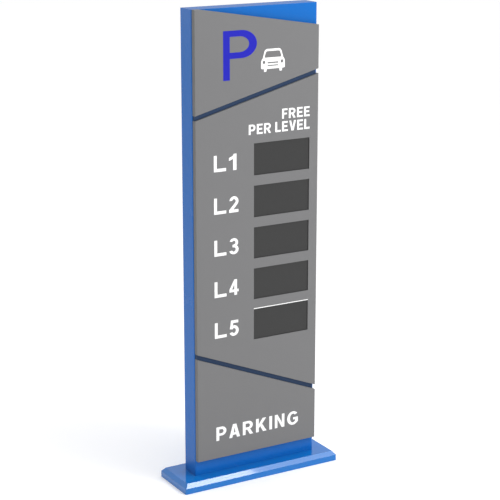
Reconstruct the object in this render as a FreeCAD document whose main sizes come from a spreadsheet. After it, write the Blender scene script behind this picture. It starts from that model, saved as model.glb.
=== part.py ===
import FreeCAD, Part
import Sketcher
import os
import re

# Free-standing parking guidance totem: a slim sheet-steel cabinet on a chamfered plinth, with three
# grey front panels, five display windows, a hinged rear door and the electronics that drive it.
# Millimetres. X runs to the viewer's right, the front faces -Y, Z is up, and the origin is on the
# ground under the middle of the plinth.

doc = FreeCAD.newDocument("ParkingTotem")
dims = doc.addObject("Spreadsheet::Sheet", "Dims")

dimensions = [
    # overall
    ("total_height", 2060),
    ("cabinet_width", 600),
    ("cabinet_depth", 94),
    ("cabinet_sheet", 2),
    ("cabinet_corner", 3),
    ("cabinet_top_edge", 1),
    # plinth and foot
    ("plinth_width", 770),
    ("plinth_depth", 236),
    ("plinth_side", 26),
    ("plinth_rise", 17),
    ("plinth_run", 15),
    ("plinth_sheet", 3),
    ("plinth_corner", 4),
    ("foot_thickness", 12),
    ("foot_clearance", 4),
    ("anchor_spacing_x", 690),
    ("anchor_spacing_y", 160),
    ("anchor_hole", 14),
    ("cable_hole", 60),
    # inner frame
    ("tube_size", 30),
    ("tube_wall", 2.5),
    ("tube_side_gap", 2),
    ("tube_head_gap", 40),
    ("slot_clearance", 1),
    ("crossbar_size", 20),
    ("crossbar_wall", 2),
    ("crossbar_offset", 12),
    ("crossbar_end_inset", 100),
    ("crossbar_foot_drop", 40),
    ("gusset_length", 55),
    ("gusset_height", 26),
    ("gusset_thickness", 5),
    # front panels
    ("panel_margin", 2.5),
    ("panel_depth", 22.5),
    ("panel_sheet", 2),
    ("panel_edge", 1.5),
    ("panel_gap", 20),
    ("panel_foot", 114),
    ("panel_level_stretch", 28),
    ("panel_top_drop", 92),
    ("upper_gap_left", 1618),
    ("upper_gap_right", 1772.5),
    ("lower_gap_left", 592),
    ("lower_gap_right", 352.5),
    # windows and displays
    ("window_width", 274.5),
    ("window_height", 137),
    ("window_right", 255),
    ("window_top", 1490.5),
    ("window_pitch", 181.3),
    ("pane_overlap", 8),
    ("pane_thickness", 3),
    ("seal_thickness", 1.5),
    ("board_margin", 7),
    ("board_thickness", 1.6),
    ("board_standoff", 8),
    ("standoff_diameter", 6),
    ("digit_width", 82),
    ("digit_margin", 7.5),
    ("digit_pitch", 88),
    ("digit_pane_gap", 2),
    ("segment_width", 10),
    ("segment_gap", 2),
    ("segment_margin", 4),
    ("segment_recess", 0.8),
    ("connector_inset", 22),
    ("connector_width", 24),
    ("connector_height", 12),
    ("connector_depth", 9),
    ("driver_offset", 14),
    ("driver_width", 10),
    ("driver_height", 26),
    ("driver_depth", 2.4),
    # fixings
    ("stud_diameter", 6),
    ("stud_inset", 60),
    ("stud_reach", 12),
    ("stud_hole", 6.6),
    ("nut_bore", 6.1),
    ("nut_corner", 5.6),
    ("nut_thickness", 5),
    ("spacer_diameter", 12),
    ("spacer_bore", 6.4),
    ("bolt_head_diameter", 10),
    ("bolt_head_height", 4),
    ("bolt_reach", 10),
    # rear opening and door
    ("rim_width", 22),
    ("rim_return", 20),
    ("lip_width", 16),
    ("door_gap", 3),
    ("door_sheet", 2),
    ("door_fold", 14),
    ("gasket_gap", 0.3),
    ("gasket_width", 13),
    ("hinge_height", 80),
    ("hinge_barrel", 10),
    ("hinge_pin", 6),
    ("hinge_bore", 6.1),
    ("hinge_leaf", 2),
    ("hinge_leaf_gap", 1),
    ("hinge_frame_leaf_width", 15),
    ("hinge_door_leaf_width", 28),
    ("hinge_end_inset", 210),
    ("stiffener_width", 36),
    ("stiffener_depth", 9),
    ("stiffener_sheet", 1.5),
    ("stiffener_offset", 120),
    # locks
    ("lock_inset", 25),
    ("lock_upper", 1500),
    ("lock_lower", 560),
    ("lock_flange", 26),
    ("lock_flange_height", 2.5),
    ("lock_body", 20),
    ("lock_barrel", 12),
    ("lock_barrel_clearance", 0.1),
    ("lock_nut_corner", 14.5),
    ("lock_nut_height", 5),
    ("cam_length", 26),
    ("cam_width", 14),
    ("cam_thickness", 2.5),
    ("cam_gap", 1.8),
    # fan and vents
    ("fan_size", 80),
    ("fan_depth", 25),
    ("fan_bore", 76),
    ("fan_height", 1860),
    ("fan_hub", 32),
    ("fan_blade_clearance", 2),
    ("fan_shaft", 3),
    ("fan_shaft_bore", 3.1),
    ("fan_screw_inset", 4.5),
    ("fan_screw_hole", 4.3),
    ("fan_strut_width", 5),
    ("fan_strut_depth", 3),
    ("fan_motor_depth", 10),
    ("fan_hub_gap", 0.6),
    ("blade_root", 2),
    ("blade_thickness", 1.6),
    ("blade_chord", 9.5),
    ("guard_wire", 2),
    ("guard_inner", 14),
    ("guard_middle", 24),
    ("guard_outer", 34),
    ("guard_eye", 7),
    ("vent_slot_length", 72),
    ("vent_slot_width", 4),
    ("vent_slot_pitch", 9),
    ("filter_width", 120),
    ("filter_height", 100),
    ("filter_depth", 10),
    ("filter_level", 170),
    ("filter_wall", 4),
    ("filter_play", 0.3),
    # equipment
    ("plate_half_width", 220),
    ("plate_bottom", 150),
    ("plate_height", 400),
    ("plate_thickness", 2),
    ("plate_spacer_inset", 14),
    ("rail_level", 470),
    ("rail_length", 300),
    ("rail_height", 35),
    ("rail_depth", 7.5),
    ("rail_sheet", 1),
    ("rail_flange", 4),
    ("module_height", 85),
    ("module_body_depth", 34),
    ("module_nose_height", 45),
    ("module_nose_depth", 10),
    ("breaker_width", 36),
    ("arrester_width", 18),
    ("terminal_width", 6),
    ("terminal_pitch", 6.2),
    ("terminal_depth", 34),
    ("terminal_height", 52),
    ("terminal_screw", 3.6),
    ("terminal_screw_depth", 4),
    ("terminal_screw_level", 16),
    ("toggle_diameter", 14),
    ("toggle_width", 15),
    ("toggle_lever", 9),
    ("toggle_clearance", 0.4),
    ("button_size", 6),
    ("button_travel", 1.5),
    ("button_clearance", 0.3),
    ("supply_width", 100),
    ("supply_height", 160),
    ("supply_depth", 40),
    ("supply_rise", 45),
    ("supply_terminal_inset", 8),
    ("supply_terminal_depth", 18),
    ("supply_terminal_height", 14),
    ("supply_slot_start", 30),
    ("supply_slot_inset", 15),
    ("supply_slot_pitch", 12),
    ("supply_slot_width", 4),
    ("supply_slot_depth", 2),
    ("controller_width", 150),
    ("controller_height", 110),
    ("controller_rise", 60),
    ("controller_inset", 20),
    ("controller_standoff", 6),
    ("controller_post_inset", 4),
    ("duct_width", 25),
    ("duct_depth", 40),
    ("duct_wall", 1.5),
    ("duct_gap", 22),
    ("duct_finger_foot", 12),
    ("lead_diameter", 5),
    ("lead_bend", 9),
    ("gland_plate_width", 90),
    ("gland_plate_depth", 56),
    ("gland_cutout_margin", 10),
    ("gland_thread", 25),
    ("gland_bore", 13),
    ("gland_corner", 19),
    ("gland_plate_sheet", 2),
    ("gland_collar", 6),
    ("gland_dome", 18),
    ("gland_nut", 5),
    ("gland_tail", 7),
    ("earth_offset", 35),
    ("earth_diameter", 8),
    ("earth_length", 28),
    ("earth_nut_corner", 7.5),
    ("earth_nut_bore", 8.1),
    ("earth_nut_height", 6),
    ("earth_washer", 17),
    ("earth_washer_bore", 8.4),
    ("earth_washer_height", 2),
]

for row, (alias, value) in enumerate(dimensions, start=1):
    cell = "B%d" % row
    dims.set("A%d" % row, alias)
    dims.set(cell, str(value))
    dims.setAlias(cell, alias)
doc.recompute()

aliases = {alias for alias, value in dimensions}
nodes = []
made = [0]

# Places that several pieces share, as formulas on the sheet.
front = "(-cabinet_depth / 2)"
inner_front = "(%s + cabinet_sheet)" % front
back = "(cabinet_depth / 2)"
inner_back = "(%s - cabinet_sheet)" % back
cabinet_foot = "(plinth_side + plinth_rise)"
floor_top = "(%s + cabinet_sheet)" % cabinet_foot
half_width = "(cabinet_width / 2)"
panel_width = "(cabinet_width - 2 * panel_margin)"
half_panel = "(%s / 2)" % panel_width
panel_back = "(%s - panel_depth + panel_sheet)" % front
pane_back = "(%s + seal_thickness + pane_thickness)" % panel_back
board_front = "(%s + board_standoff)" % inner_front
board_back = "(%s + board_thickness)" % board_front
window_left = "(window_right - window_width)"
digit_height = "(window_height - 2 * digit_margin)"
segment_length = "((%s - 3 * segment_width) / 2 - segment_gap - segment_margin)" % digit_height
segment_step = "(%s + segment_width + segment_gap)" % segment_length
opening_half = "(%s - rim_width)" % half_width
opening_foot = "(%s + rim_width)" % cabinet_foot
opening_head = "(total_height - rim_width)"
lip_back = "(%s - rim_return)" % back
lip_front = "(%s - cabinet_sheet)" % lip_back
lip_half = "(%s - lip_width)" % opening_half
door_half = "(%s - door_gap)" % opening_half
door_foot = "(%s + door_gap)" % opening_foot
door_head = "(%s - door_gap)" % opening_head
door_inner = "(%s - door_sheet)" % back
hinge_x = "(%s - door_gap / 2)" % opening_half
hinge_y = "(%s + hinge_barrel / 2)" % back
plate_back = "(%s + plate_thickness)" % board_front
lock_x = "(-%s + lock_inset)" % door_half
window_count = 5


def formula(text):
    """Put the sheet's name before each cell alias in a formula."""
    def with_sheet(match):
        word = match.group()
        return "Dims." + word if word in aliases else word
    return re.sub(r"[a-z_][a-z_0-9]*", with_sheet, str(text))


def number(text):
    """The present value of a formula."""
    return float(dims.evalExpression(formula(text)))


def bind(item, **settings):
    for name, text in settings.items():
        item.setExpression(name.replace("__", "."), formula(text))


def place(item, x=0, y=0, z=0):
    for axis, text in (("x", x), ("y", y), ("z", z)):
        item.setExpression("Placement.Base." + axis, formula(text))


def fresh(kind, hint):
    made[0] += 1
    return doc.addObject(kind, "%s_%03d" % (hint, made[0]))


def span_length(span):
    return "(%s) - (%s)" % (span[1], span[0])


def box(x, y, z):
    """A block between two X, two Y and two Z places."""
    item = fresh("Part::Box", "Block")
    bind(item, Length=span_length(x), Width=span_length(y), Height=span_length(z))
    place(item, x[0], y[0], z[0])
    return item


turns = {"x": FreeCAD.Rotation(FreeCAD.Vector(0, 1, 0), 90),
         "y": FreeCAD.Rotation(FreeCAD.Vector(1, 0, 0), -90),
         "z": FreeCAD.Rotation()}


def along(item, axis, across, start):
    """Stand an item that grows along its own Z on the axis named, from start."""
    item.Placement = FreeCAD.Placement(FreeCAD.Vector(), turns[axis])
    if axis == "x":
        place(item, start, across[0], across[1])
    elif axis == "y":
        place(item, across[0], start, across[1])
    else:
        place(item, across[0], across[1], start)
    return item


def rod(axis, across, span, diameter):
    item = fresh("Part::Cylinder", "Rod")
    bind(item, Radius="(%s) / 2" % diameter, Height=span_length(span))
    return along(item, axis, across, span[0])


def hexagon(axis, across, span, corner):
    item = fresh("Part::Prism", "Hexagon")
    item.Polygon = 6
    bind(item, Circumradius=corner, Height=span_length(span))
    return along(item, axis, across, span[0])


def cut(base, *tools):
    tool = tools[0] if len(tools) == 1 else group(*tools)
    item = fresh("Part::Cut", "Cut")
    item.Base = base
    item.Tool = tool
    return item


def fuse(*pieces):
    item = fresh("Part::MultiFuse", "Joined")
    item.Shapes = list(pieces)
    return item


def group(*pieces):
    item = fresh("Part::Compound", "Group")
    item.Links = list(pieces)
    return item


def tube(axis, across, span, diameter, bore):
    return cut(rod(axis, across, span, diameter), rod(axis, across, span, bore))


def rounded(base, radius, chosen):
    """Round the edges of base that the test picks."""
    doc.recompute()
    item = fresh("Part::Fillet", "Rounded")
    item.Base = base
    size = number(radius)
    item.Edges = [(index, size, size) for index, edge in enumerate(base.Shape.Edges, start=1)
                  if chosen(edge)]
    return item


def node(name, item):
    """Name a finished sub-part."""
    item.Label = name
    nodes.append(item)
    return item


def direction(edge):
    return (edge.Vertexes[-1].Point - edge.Vertexes[0].Point).normalize()


def outline_body(hint, plane, points, depth):
    """A body padded from a closed outline whose corners are pairs of formulas."""
    body = fresh("PartDesign::Body", hint)
    sketch = body.newObject("Sketcher::SketchObject", hint + "_Outline")
    attach(sketch, body, plane)
    draw_outline(sketch, points)
    pad = body.newObject("PartDesign::Pad", hint + "_Pad")
    pad.Profile = sketch
    bind(pad, Length=depth)
    return body, pad


def attach(sketch, body, plane):
    for feature in body.Origin.OriginFeatures:
        if feature.Role == plane:
            sketch.AttachmentSupport = [(feature, "")]
    sketch.MapMode = "FlatFace"


def draw_outline(sketch, points):
    places = [(number(across), number(up)) for across, up in points]
    first = sketch.GeometryCount
    count = len(places)
    for index, (across, up) in enumerate(places):
        following = places[(index + 1) % count]
        sketch.addGeometry(Part.LineSegment(FreeCAD.Vector(across, up, 0),
                                            FreeCAD.Vector(following[0], following[1], 0)), False)
    for index in range(count):
        line = first + index
        sketch.addConstraint(Sketcher.Constraint("Coincident", line, 2, first + (index + 1) % count, 1))
    for index, (across, up) in enumerate(points):
        line = first + index
        for kind, text in (("DistanceX", across), ("DistanceY", up)):
            made_at = sketch.addConstraint(Sketcher.Constraint(kind, -1, 1, line, 1, number(text)))
            sketch.setExpression("Constraints[%d]" % made_at, formula(text))


# ---- plinth, foot and inner frame ----

def frustum(half_x, half_y, foot, rise, run):
    """A block whose four sides lean in by run over its height."""
    item = fresh("Part::Wedge", "Frustum")
    item.Placement = FreeCAD.Placement(FreeCAD.Vector(), FreeCAD.Rotation(FreeCAD.Vector(1, 0, 0), 90))
    bind(item, Xmin="-" + half_x, Xmax=half_x, Ymin=0, Ymax=rise, Zmin="-" + half_y, Zmax=half_y,
         X2min="-%s + %s" % (half_x, run), X2max="%s - %s" % (half_x, run),
         Z2min="-%s + %s" % (half_y, run), Z2max="%s - %s" % (half_y, run))
    place(item, 0, 0, foot)
    return item


def upright_box(side, clearance, z):
    """The space of one upright, let out by a clearance."""
    outer = "(%s - cabinet_sheet - tube_side_gap)" % half_width
    inner = "(%s - tube_size)" % outer
    spread = ("%s - %s" % (inner, clearance), "%s + %s" % (outer, clearance))
    x = spread if side > 0 else ("-(%s)" % spread[1], "-(%s)" % spread[0])
    y = ("%s - %s" % (inner_front, clearance), "%s + tube_size + %s" % (inner_front, clearance))
    return box(["(%s)" % text for text in x], ["(%s)" % text for text in y], z)


tube_centre = "(%s - cabinet_sheet - tube_side_gap - tube_size / 2)" % half_width
tube_head = "(total_height - tube_head_gap)"
bolt_levels = ["(panel_foot + 30)", "(window_top - 3 * window_pitch - window_height - board_margin)",
               "(window_top + board_margin + 40)", "(total_height - 160)"]


def make_plinth_cover():
    half_x = "(plinth_width / 2)"
    half_y = "(plinth_depth / 2)"
    solid = fuse(box(("-" + half_x, half_x), ("-" + half_y, half_y), (0, "plinth_side")),
                 frustum(half_x, half_y, "plinth_side", "plinth_rise", "plinth_run"))
    solid = rounded(solid, "plinth_corner", lambda edge: abs(direction(edge).z) > 0.3)
    inner_x = "(%s - plinth_sheet)" % half_x
    inner_y = "(%s - plinth_sheet)" % half_y
    inner_side = "(plinth_side - plinth_sheet / 2)"
    inner_rise = "(plinth_rise - plinth_sheet / 2)"
    hollow = fuse(box(("-" + inner_x, inner_x), ("-" + inner_y, inner_y), (-1, inner_side)),
                  frustum(inner_x, inner_y, inner_side, inner_rise, "plinth_run"))
    above = (cabinet_foot + " - 2 * plinth_sheet", cabinet_foot + " + 1")
    slots = [upright_box(side, "slot_clearance", above) for side in (-1, 1)]
    node("plinth_cover", cut(solid, hollow, *slots, gland_cutout(above)))


def gland_cutout(z):
    half_x = "(gland_plate_width / 2 - gland_cutout_margin)"
    half_y = "(gland_plate_depth / 2 - gland_cutout_margin)"
    return box(("-" + half_x, half_x), ("-" + half_y, half_y), z)


def make_base_plate():
    half_x = "(plinth_width / 2 - plinth_sheet - foot_clearance)"
    half_y = "(plinth_depth / 2 - plinth_sheet - foot_clearance)"
    body, pad = outline_body("BasePlate", "XY_Plane",
                             [("-" + half_x, "-" + half_y), (half_x, "-" + half_y),
                              (half_x, half_y), ("-" + half_x, half_y)], "foot_thickness")
    holes = body.newObject("Sketcher::SketchObject", "BasePlate_Holes")
    attach(holes, body, "XY_Plane")
    circles = [("anchor_spacing_x / 2 * %d" % sx, "anchor_spacing_y / 2 * %d" % sy, "anchor_hole / 2")
               for sx in (-1, 1) for sy in (-1, 1)]
    circles.append(("0", "0", "cable_hole / 2"))
    for index, (across, up, radius) in enumerate(circles):
        centre = FreeCAD.Vector(number(across), number(up), 0)
        holes.addGeometry(Part.Circle(centre, FreeCAD.Vector(0, 0, 1), number(radius)), False)
        for kind, text in (("DistanceX", across), ("DistanceY", up)):
            if text == "0":
                continue
            at = holes.addConstraint(Sketcher.Constraint(kind, -1, 1, index, 3, number(text)))
            holes.setExpression("Constraints[%d]" % at, formula(text))
        at = holes.addConstraint(Sketcher.Constraint("Radius", index, number(radius)))
        holes.setExpression("Constraints[%d]" % at, formula(radius))
    pocket = body.newObject("PartDesign::Pocket", "BasePlate_Pocket")
    pocket.Profile = holes
    pocket.Reversed = True
    bind(pocket, Length="foot_thickness + 1")
    node("base_plate", body)


def make_frame():
    uprights = []
    for side in (-1, 1):
        outside = upright_box(side, 0, ("foot_thickness", tube_head))
        inside = upright_box(side, "-tube_wall", ("foot_thickness", tube_head))
        centre = "(%s * %d)" % (tube_centre, side)
        holes = [rod("y", (centre, level), (inner_front + " - 1", inner_front + " + tube_wall + 1"),
                     "nut_bore") for level in bolt_levels]
        uprights.append(cut(outside, inside, *holes))
    node("uprights", group(*uprights))
    bars = []
    levels = ["(%s + crossbar_end_inset - crossbar_foot_drop)" % cabinet_foot,
              "(window_top - %d * window_pitch - window_height - board_margin - crossbar_offset"
              " - crossbar_size)" % (window_count - 1),
              "(window_top + board_margin + crossbar_offset)",
              "(total_height - crossbar_end_inset - crossbar_size)"]
    end = "(%s - tube_size / 2)" % tube_centre
    for level in levels:
        x = ("-" + end, end)
        y = (inner_front, "%s + crossbar_size" % inner_front)
        z = (level, "%s + crossbar_size" % level)
        inner_y = ("%s + crossbar_wall" % y[0], "%s - crossbar_wall" % y[1])
        inner_z = ("%s + crossbar_wall" % z[0], "%s - crossbar_wall" % z[1])
        bars.append(cut(box(x, ["(%s)" % text for text in y], ["(%s)" % text for text in z]),
                        box(x, ["(%s)" % text for text in inner_y], ["(%s)" % text for text in inner_z])))
    node("frame_crossbars", group(*bars))
    make_gussets()


def make_gussets():
    """Triangular plates that brace each upright on the foot plate, inside the plinth."""
    pieces = []
    inner = "(%s - tube_size / 2)" % tube_centre
    middle_y = "(%s + tube_size / 2)" % inner_front
    back_y = "(%s + tube_size)" % inner_front
    foot = "foot_thickness"
    head = "foot_thickness + gusset_height"
    for side in (-1, 1):
        start = "(%s * %d)" % (inner, side)
        tip = "(%s - gusset_length * %d)" % (start, side)
        body, pad = outline_body("SideGusset", "XZ_Plane", [(start, foot), (tip, foot), (start, head)],
                                 "gusset_thickness")
        place(body, 0, "%s + gusset_thickness / 2" % middle_y, 0)
        pieces.append(body)
        body, pad = outline_body("RearGusset", "YZ_Plane",
                                 [(back_y, foot), ("%s + gusset_length" % back_y, foot), (back_y, head)],
                                 "gusset_thickness")
        place(body, "%s * %d - gusset_thickness / 2" % (tube_centre, side), 0, 0)
        pieces.append(body)
    node("foot_gussets", group(*pieces))


# ---- front panels ----

def gap_edge(left, right, side, above):
    """Height of a gap's upper or lower edge at the panel's left or right side."""
    slope = "((%s - %s) / %s)" % (right, left, panel_width)
    half = "(panel_gap / 2 * sqrt(1 + %s ^ 2))" % slope
    middle = right if side > 0 else left
    return "(%s %s %s)" % (middle, "+" if above else "-", half)


panel_outlines = {
    "top_panel": [("-" + half_panel, gap_edge("upper_gap_left", "upper_gap_right", -1, True)),
                  (half_panel, gap_edge("upper_gap_left", "upper_gap_right", 1, True)),
                  (half_panel, "(total_height - panel_top_drop)"),
                  ("(-%s + panel_level_stretch)" % half_panel, "total_height"),
                  ("-" + half_panel, "total_height")],
    "middle_panel": [("-" + half_panel, gap_edge("lower_gap_left", "lower_gap_right", -1, True)),
                     (half_panel, gap_edge("lower_gap_left", "lower_gap_right", 1, True)),
                     (half_panel, gap_edge("upper_gap_left", "upper_gap_right", 1, False)),
                     ("-" + half_panel, gap_edge("upper_gap_left", "upper_gap_right", -1, False))],
    "bottom_panel": [("-" + half_panel, "panel_foot"), (half_panel, "panel_foot"),
                     (half_panel, gap_edge("lower_gap_left", "lower_gap_right", 1, False)),
                     ("-" + half_panel, gap_edge("lower_gap_left", "lower_gap_right", -1, False))],
}


def window_span(index):
    """Foot and head of window number index, counted from the top."""
    head = "(window_top - %d * window_pitch)" % index
    return "(%s - window_height)" % head, head


def make_panels():
    for name, points in panel_outlines.items():
        body, pad = outline_body(name.title().replace("_", ""), "XZ_Plane", points, "panel_depth")
        place(body, 0, front, 0)
        doc.recompute()
        solid_volume = body.Shape.Volume
        shell = body.newObject("PartDesign::Thickness", "Folded")
        shell.Base = (pad, [face_at(pad.Shape, 0)])
        shell.Join = "Intersection"
        shell.Reversed = True
        bind(shell, Value="panel_sheet")
        doc.recompute()
        assert body.Shape.Volume < solid_volume / 3, name + " is not hollow"
        if name == "middle_panel":
            cut_windows(body)
        soften(body)
        node(name, body)


def face_at(shape, place_y):
    """Name of the flat face that stands at one Y place."""
    for index, face in enumerate(shape.Faces, start=1):
        limits = face.BoundBox
        if abs(limits.YMin - place_y) < 1e-6 and abs(limits.YMax - place_y) < 1e-6:
            return "Face%d" % index


def cut_windows(body):
    sketch = body.newObject("Sketcher::SketchObject", "Windows")
    attach(sketch, body, "XZ_Plane")
    for index in range(window_count):
        foot, head = window_span(index)
        draw_outline(sketch, [(window_left, foot), ("window_right", foot),
                              ("window_right", head), (window_left, head)])
    before = body.Shape.Volume
    pocket = body.newObject("PartDesign::Pocket", "WindowCuts")
    pocket.Profile = sketch
    pocket.Reversed = True
    bind(pocket, Length="panel_depth + 1")
    doc.recompute()
    cleared = number("window_width * window_height * panel_sheet") * window_count
    assert abs(before - body.Shape.Volume - cleared) < 1, "the windows are not cut"


def soften(body):
    """Round the folded outer edges of a panel."""
    limits = body.Shape.BoundBox
    face_y = -number("panel_depth")
    base = body.Tip
    edges = []
    for index, edge in enumerate(base.Shape.Edges, start=1):
        ends = [vertex.Point for vertex in edge.Vertexes]
        on_face = all(abs(point.y - face_y) < 1e-6 for point in ends)
        is_window = on_face and all(inside_windows(point) for point in ends)
        if on_face and not is_window:
            edges.append("Edge%d" % index)
    fillet = body.newObject("PartDesign::Fillet", "SoftEdges")
    fillet.Base = (base, edges)
    bind(fillet, Radius="panel_edge")
    doc.recompute()
    assert body.Shape.BoundBox.XLength > limits.XLength - 1e-3


def inside_windows(point):
    left = number(window_left) - 1
    right = number("window_right") + 1
    foot = number(window_span(window_count - 1)[0]) - 1
    return left < point.x < right and foot < point.z < number("window_top") + 1


def studs():
    """Places of the panels' studs: one near each corner and one halfway up the long left edge."""
    x = "(%s - stud_inset)" % half_panel
    share = "(stud_inset / %s)" % panel_width

    def inward(left, right, side):
        near, far = (right, left) if side > 0 else (left, right)
        return "(%s + (%s - %s) * %s)" % (near, far, near, share)

    places = []
    for side in (-1, 1):
        at = "(%s * %d)" % (x, side)
        upper = inward("upper_gap_left", "upper_gap_right", side)
        lower = inward("lower_gap_left", "lower_gap_right", side)
        head = "(total_height - panel_top_drop * %s)" % (share if side < 0 else "(1 - %s)" % share)
        for level in ("(%s - stud_inset - panel_edge)" % head, "(%s + stud_inset + panel_gap / 2)" % upper,
                      "(%s - stud_inset - panel_gap / 2)" % upper,
                      "(%s + stud_inset + panel_gap / 2)" % lower,
                      "(%s - stud_inset - panel_gap / 2)" % lower, "(panel_foot + stud_inset)"):
            places.append((at, level))
    places.append(("(-%s)" % x, "((upper_gap_left + lower_gap_left) / 2)"))
    return places


def make_panel_fixings():
    pins = []
    nuts = []
    spacers = []
    for across in studs():
        pins.append(rod("y", across, (panel_back, "(%s + stud_reach)" % inner_front), "stud_diameter"))
        nuts.append(cut(hexagon("y", across, (inner_front, "(%s + nut_thickness)" % inner_front),
                                "nut_corner"),
                        rod("y", across, (inner_front, "(%s + nut_thickness)" % inner_front), "nut_bore")))
        spacers.append(tube("y", across, (panel_back, front), "spacer_diameter", "spacer_bore"))
    node("panel_studs", group(*pins))
    node("panel_nuts", group(*nuts))
    node("panel_spacers", group(*spacers))


def make_shell_bolts():
    bolts = []
    for side in (-1, 1):
        centre = "(%s * %d)" % (tube_centre, side)
        for level in bolt_levels:
            across = (centre, level)
            head = rod("y", across, ("(%s - bolt_head_height)" % front, front), "bolt_head_diameter")
            shank = rod("y", across, (front, "(%s + bolt_reach)" % inner_front), "stud_diameter")
            bolts.append(fuse(head, shank))
    node("shell_bolts", group(*bolts))


# ---- cabinet shell ----

def rear_block(half_x, foot, head, y):
    return box(("(-%s)" % half_x, half_x), y, (foot, head))


def make_cabinet_shell():
    outside = box(("-" + half_width, half_width), (front, back), (cabinet_foot, "total_height"))
    outside = rounded(outside, "cabinet_corner", lambda edge: abs(direction(edge).z) > 0.9)
    top = number("total_height")
    outside = rounded(outside, "cabinet_top_edge",
                      lambda edge: all(abs(vertex.Z - top) < 1e-6 for vertex in edge.Vertexes))
    inner_half = "(%s - cabinet_sheet)" % half_width
    cavity = rear_block(inner_half, floor_top, "(total_height - cabinet_sheet)", (inner_front, inner_back))
    doorway = rear_block(opening_half, opening_foot, opening_head, (lip_back, "(%s + 1)" % back))
    through = ("(%s - 1)" % front, "(%s + 1)" % inner_front)
    cuts = [doorway]
    for index in range(window_count):
        cuts.append(box((window_left, "window_right"), through, window_span(index)))
    cuts += [rod("y", across, through, "stud_hole") for across in studs()]
    for side in (-1, 1):
        centre = "(%s * %d)" % (tube_centre, side)
        cuts += [rod("y", (centre, level), through, "stud_hole") for level in bolt_levels]
        cuts.append(upright_box(side, "0.02", ("(%s - 1)" % cabinet_foot, "(%s + 1)" % floor_top)))
    cuts.append(gland_cutout(("(%s - 1)" % cabinet_foot, "(%s + 1)" % floor_top)))
    node("cabinet_shell", cut(cut(outside, cavity), *cuts))


def mirrored(span, side):
    return span if side > 0 else ("(-%s)" % span[1], "(-%s)" % span[0])


def make_door_surround():
    """Four folded angles welded behind the rim: a return into the cabinet, and the lip behind the door."""
    outer_foot = "(%s - cabinet_sheet)" % opening_foot
    outer_head = "(%s + cabinet_sheet)" % opening_head
    return_y = (lip_front, inner_back)
    lip_y = (lip_front, lip_back)
    angles = []
    for side in (-1, 1):
        angles.append(fuse(
            box(mirrored((opening_half, "(%s + cabinet_sheet)" % opening_half), side), return_y,
                (outer_foot, outer_head)),
            box(mirrored((lip_half, opening_half), side), lip_y, (opening_foot, opening_head))))
    for return_z, lip_z in (((outer_foot, opening_foot), (opening_foot, "(%s + lip_width)" % opening_foot)),
                            ((opening_head, outer_head), ("(%s - lip_width)" % opening_head, opening_head))):
        angles.append(fuse(rear_block(opening_half, *return_z, return_y), rear_block(lip_half, *lip_z, lip_y)))
    node("door_surround", group(*angles))


# ---- windows and displays ----

def ring(x, y, z, wall):
    """A rectangular frame standing in the XZ plane."""
    inner_x = ("(%s + %s)" % (x[0], wall), "(%s - %s)" % (x[1], wall))
    inner_z = ("(%s + %s)" % (z[0], wall), "(%s - %s)" % (z[1], wall))
    return cut(box(x, y, z), box(inner_x, y, inner_z))


def make_windows():
    seals = []
    seal_back = "(%s + seal_thickness)" % panel_back
    for index in range(window_count):
        foot, head = window_span(index)
        x = ("(%s - pane_overlap)" % window_left, "(window_right + pane_overlap)")
        z = ("(%s - pane_overlap)" % foot, "(%s + pane_overlap)" % head)
        seals.append(ring(x, (panel_back, seal_back), z, "pane_overlap"))
        node("window_pane_%d" % (index + 1), box(x, (seal_back, pane_back), z))
    node("window_seals", group(*seals))


def make_digit(middle_x, middle_z):
    """One seven-segment block with its segments sunk into the face."""
    face = "(%s + digit_pane_gap)" % pane_back
    half_height = "(%s / 2)" % digit_height
    block = box(("(%s - digit_width / 2)" % middle_x, "(%s + digit_width / 2)" % middle_x),
                (face, board_front),
                ("(%s - %s)" % (middle_z, half_height), "(%s + %s)" % (middle_z, half_height)))
    deep = ("(%s - 1)" % face, "(%s + segment_recess)" % face)
    half_long = "(%s / 2)" % segment_length
    segments = []
    for level in (-1, 0, 1):
        centre = "(%s + %d * %s)" % (middle_z, level, segment_step)
        segments.append(box(("(%s - %s)" % (middle_x, half_long), "(%s + %s)" % (middle_x, half_long)),
                            deep, ("(%s - segment_width / 2)" % centre, "(%s + segment_width / 2)" % centre)))
    for side in (-1, 1):
        for level in (-1, 1):
            x = "(%s + %d * %s / 2)" % (middle_x, side, segment_step)
            z = "(%s + %d * %s / 2)" % (middle_z, level, segment_step)
            segments.append(box(("(%s - segment_width / 2)" % x, "(%s + segment_width / 2)" % x), deep,
                                ("(%s - %s)" % (z, half_long), "(%s + %s)" % (z, half_long))))
    return cut(block, *segments)


connector_x = "(%s + connector_inset)" % window_left


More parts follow.
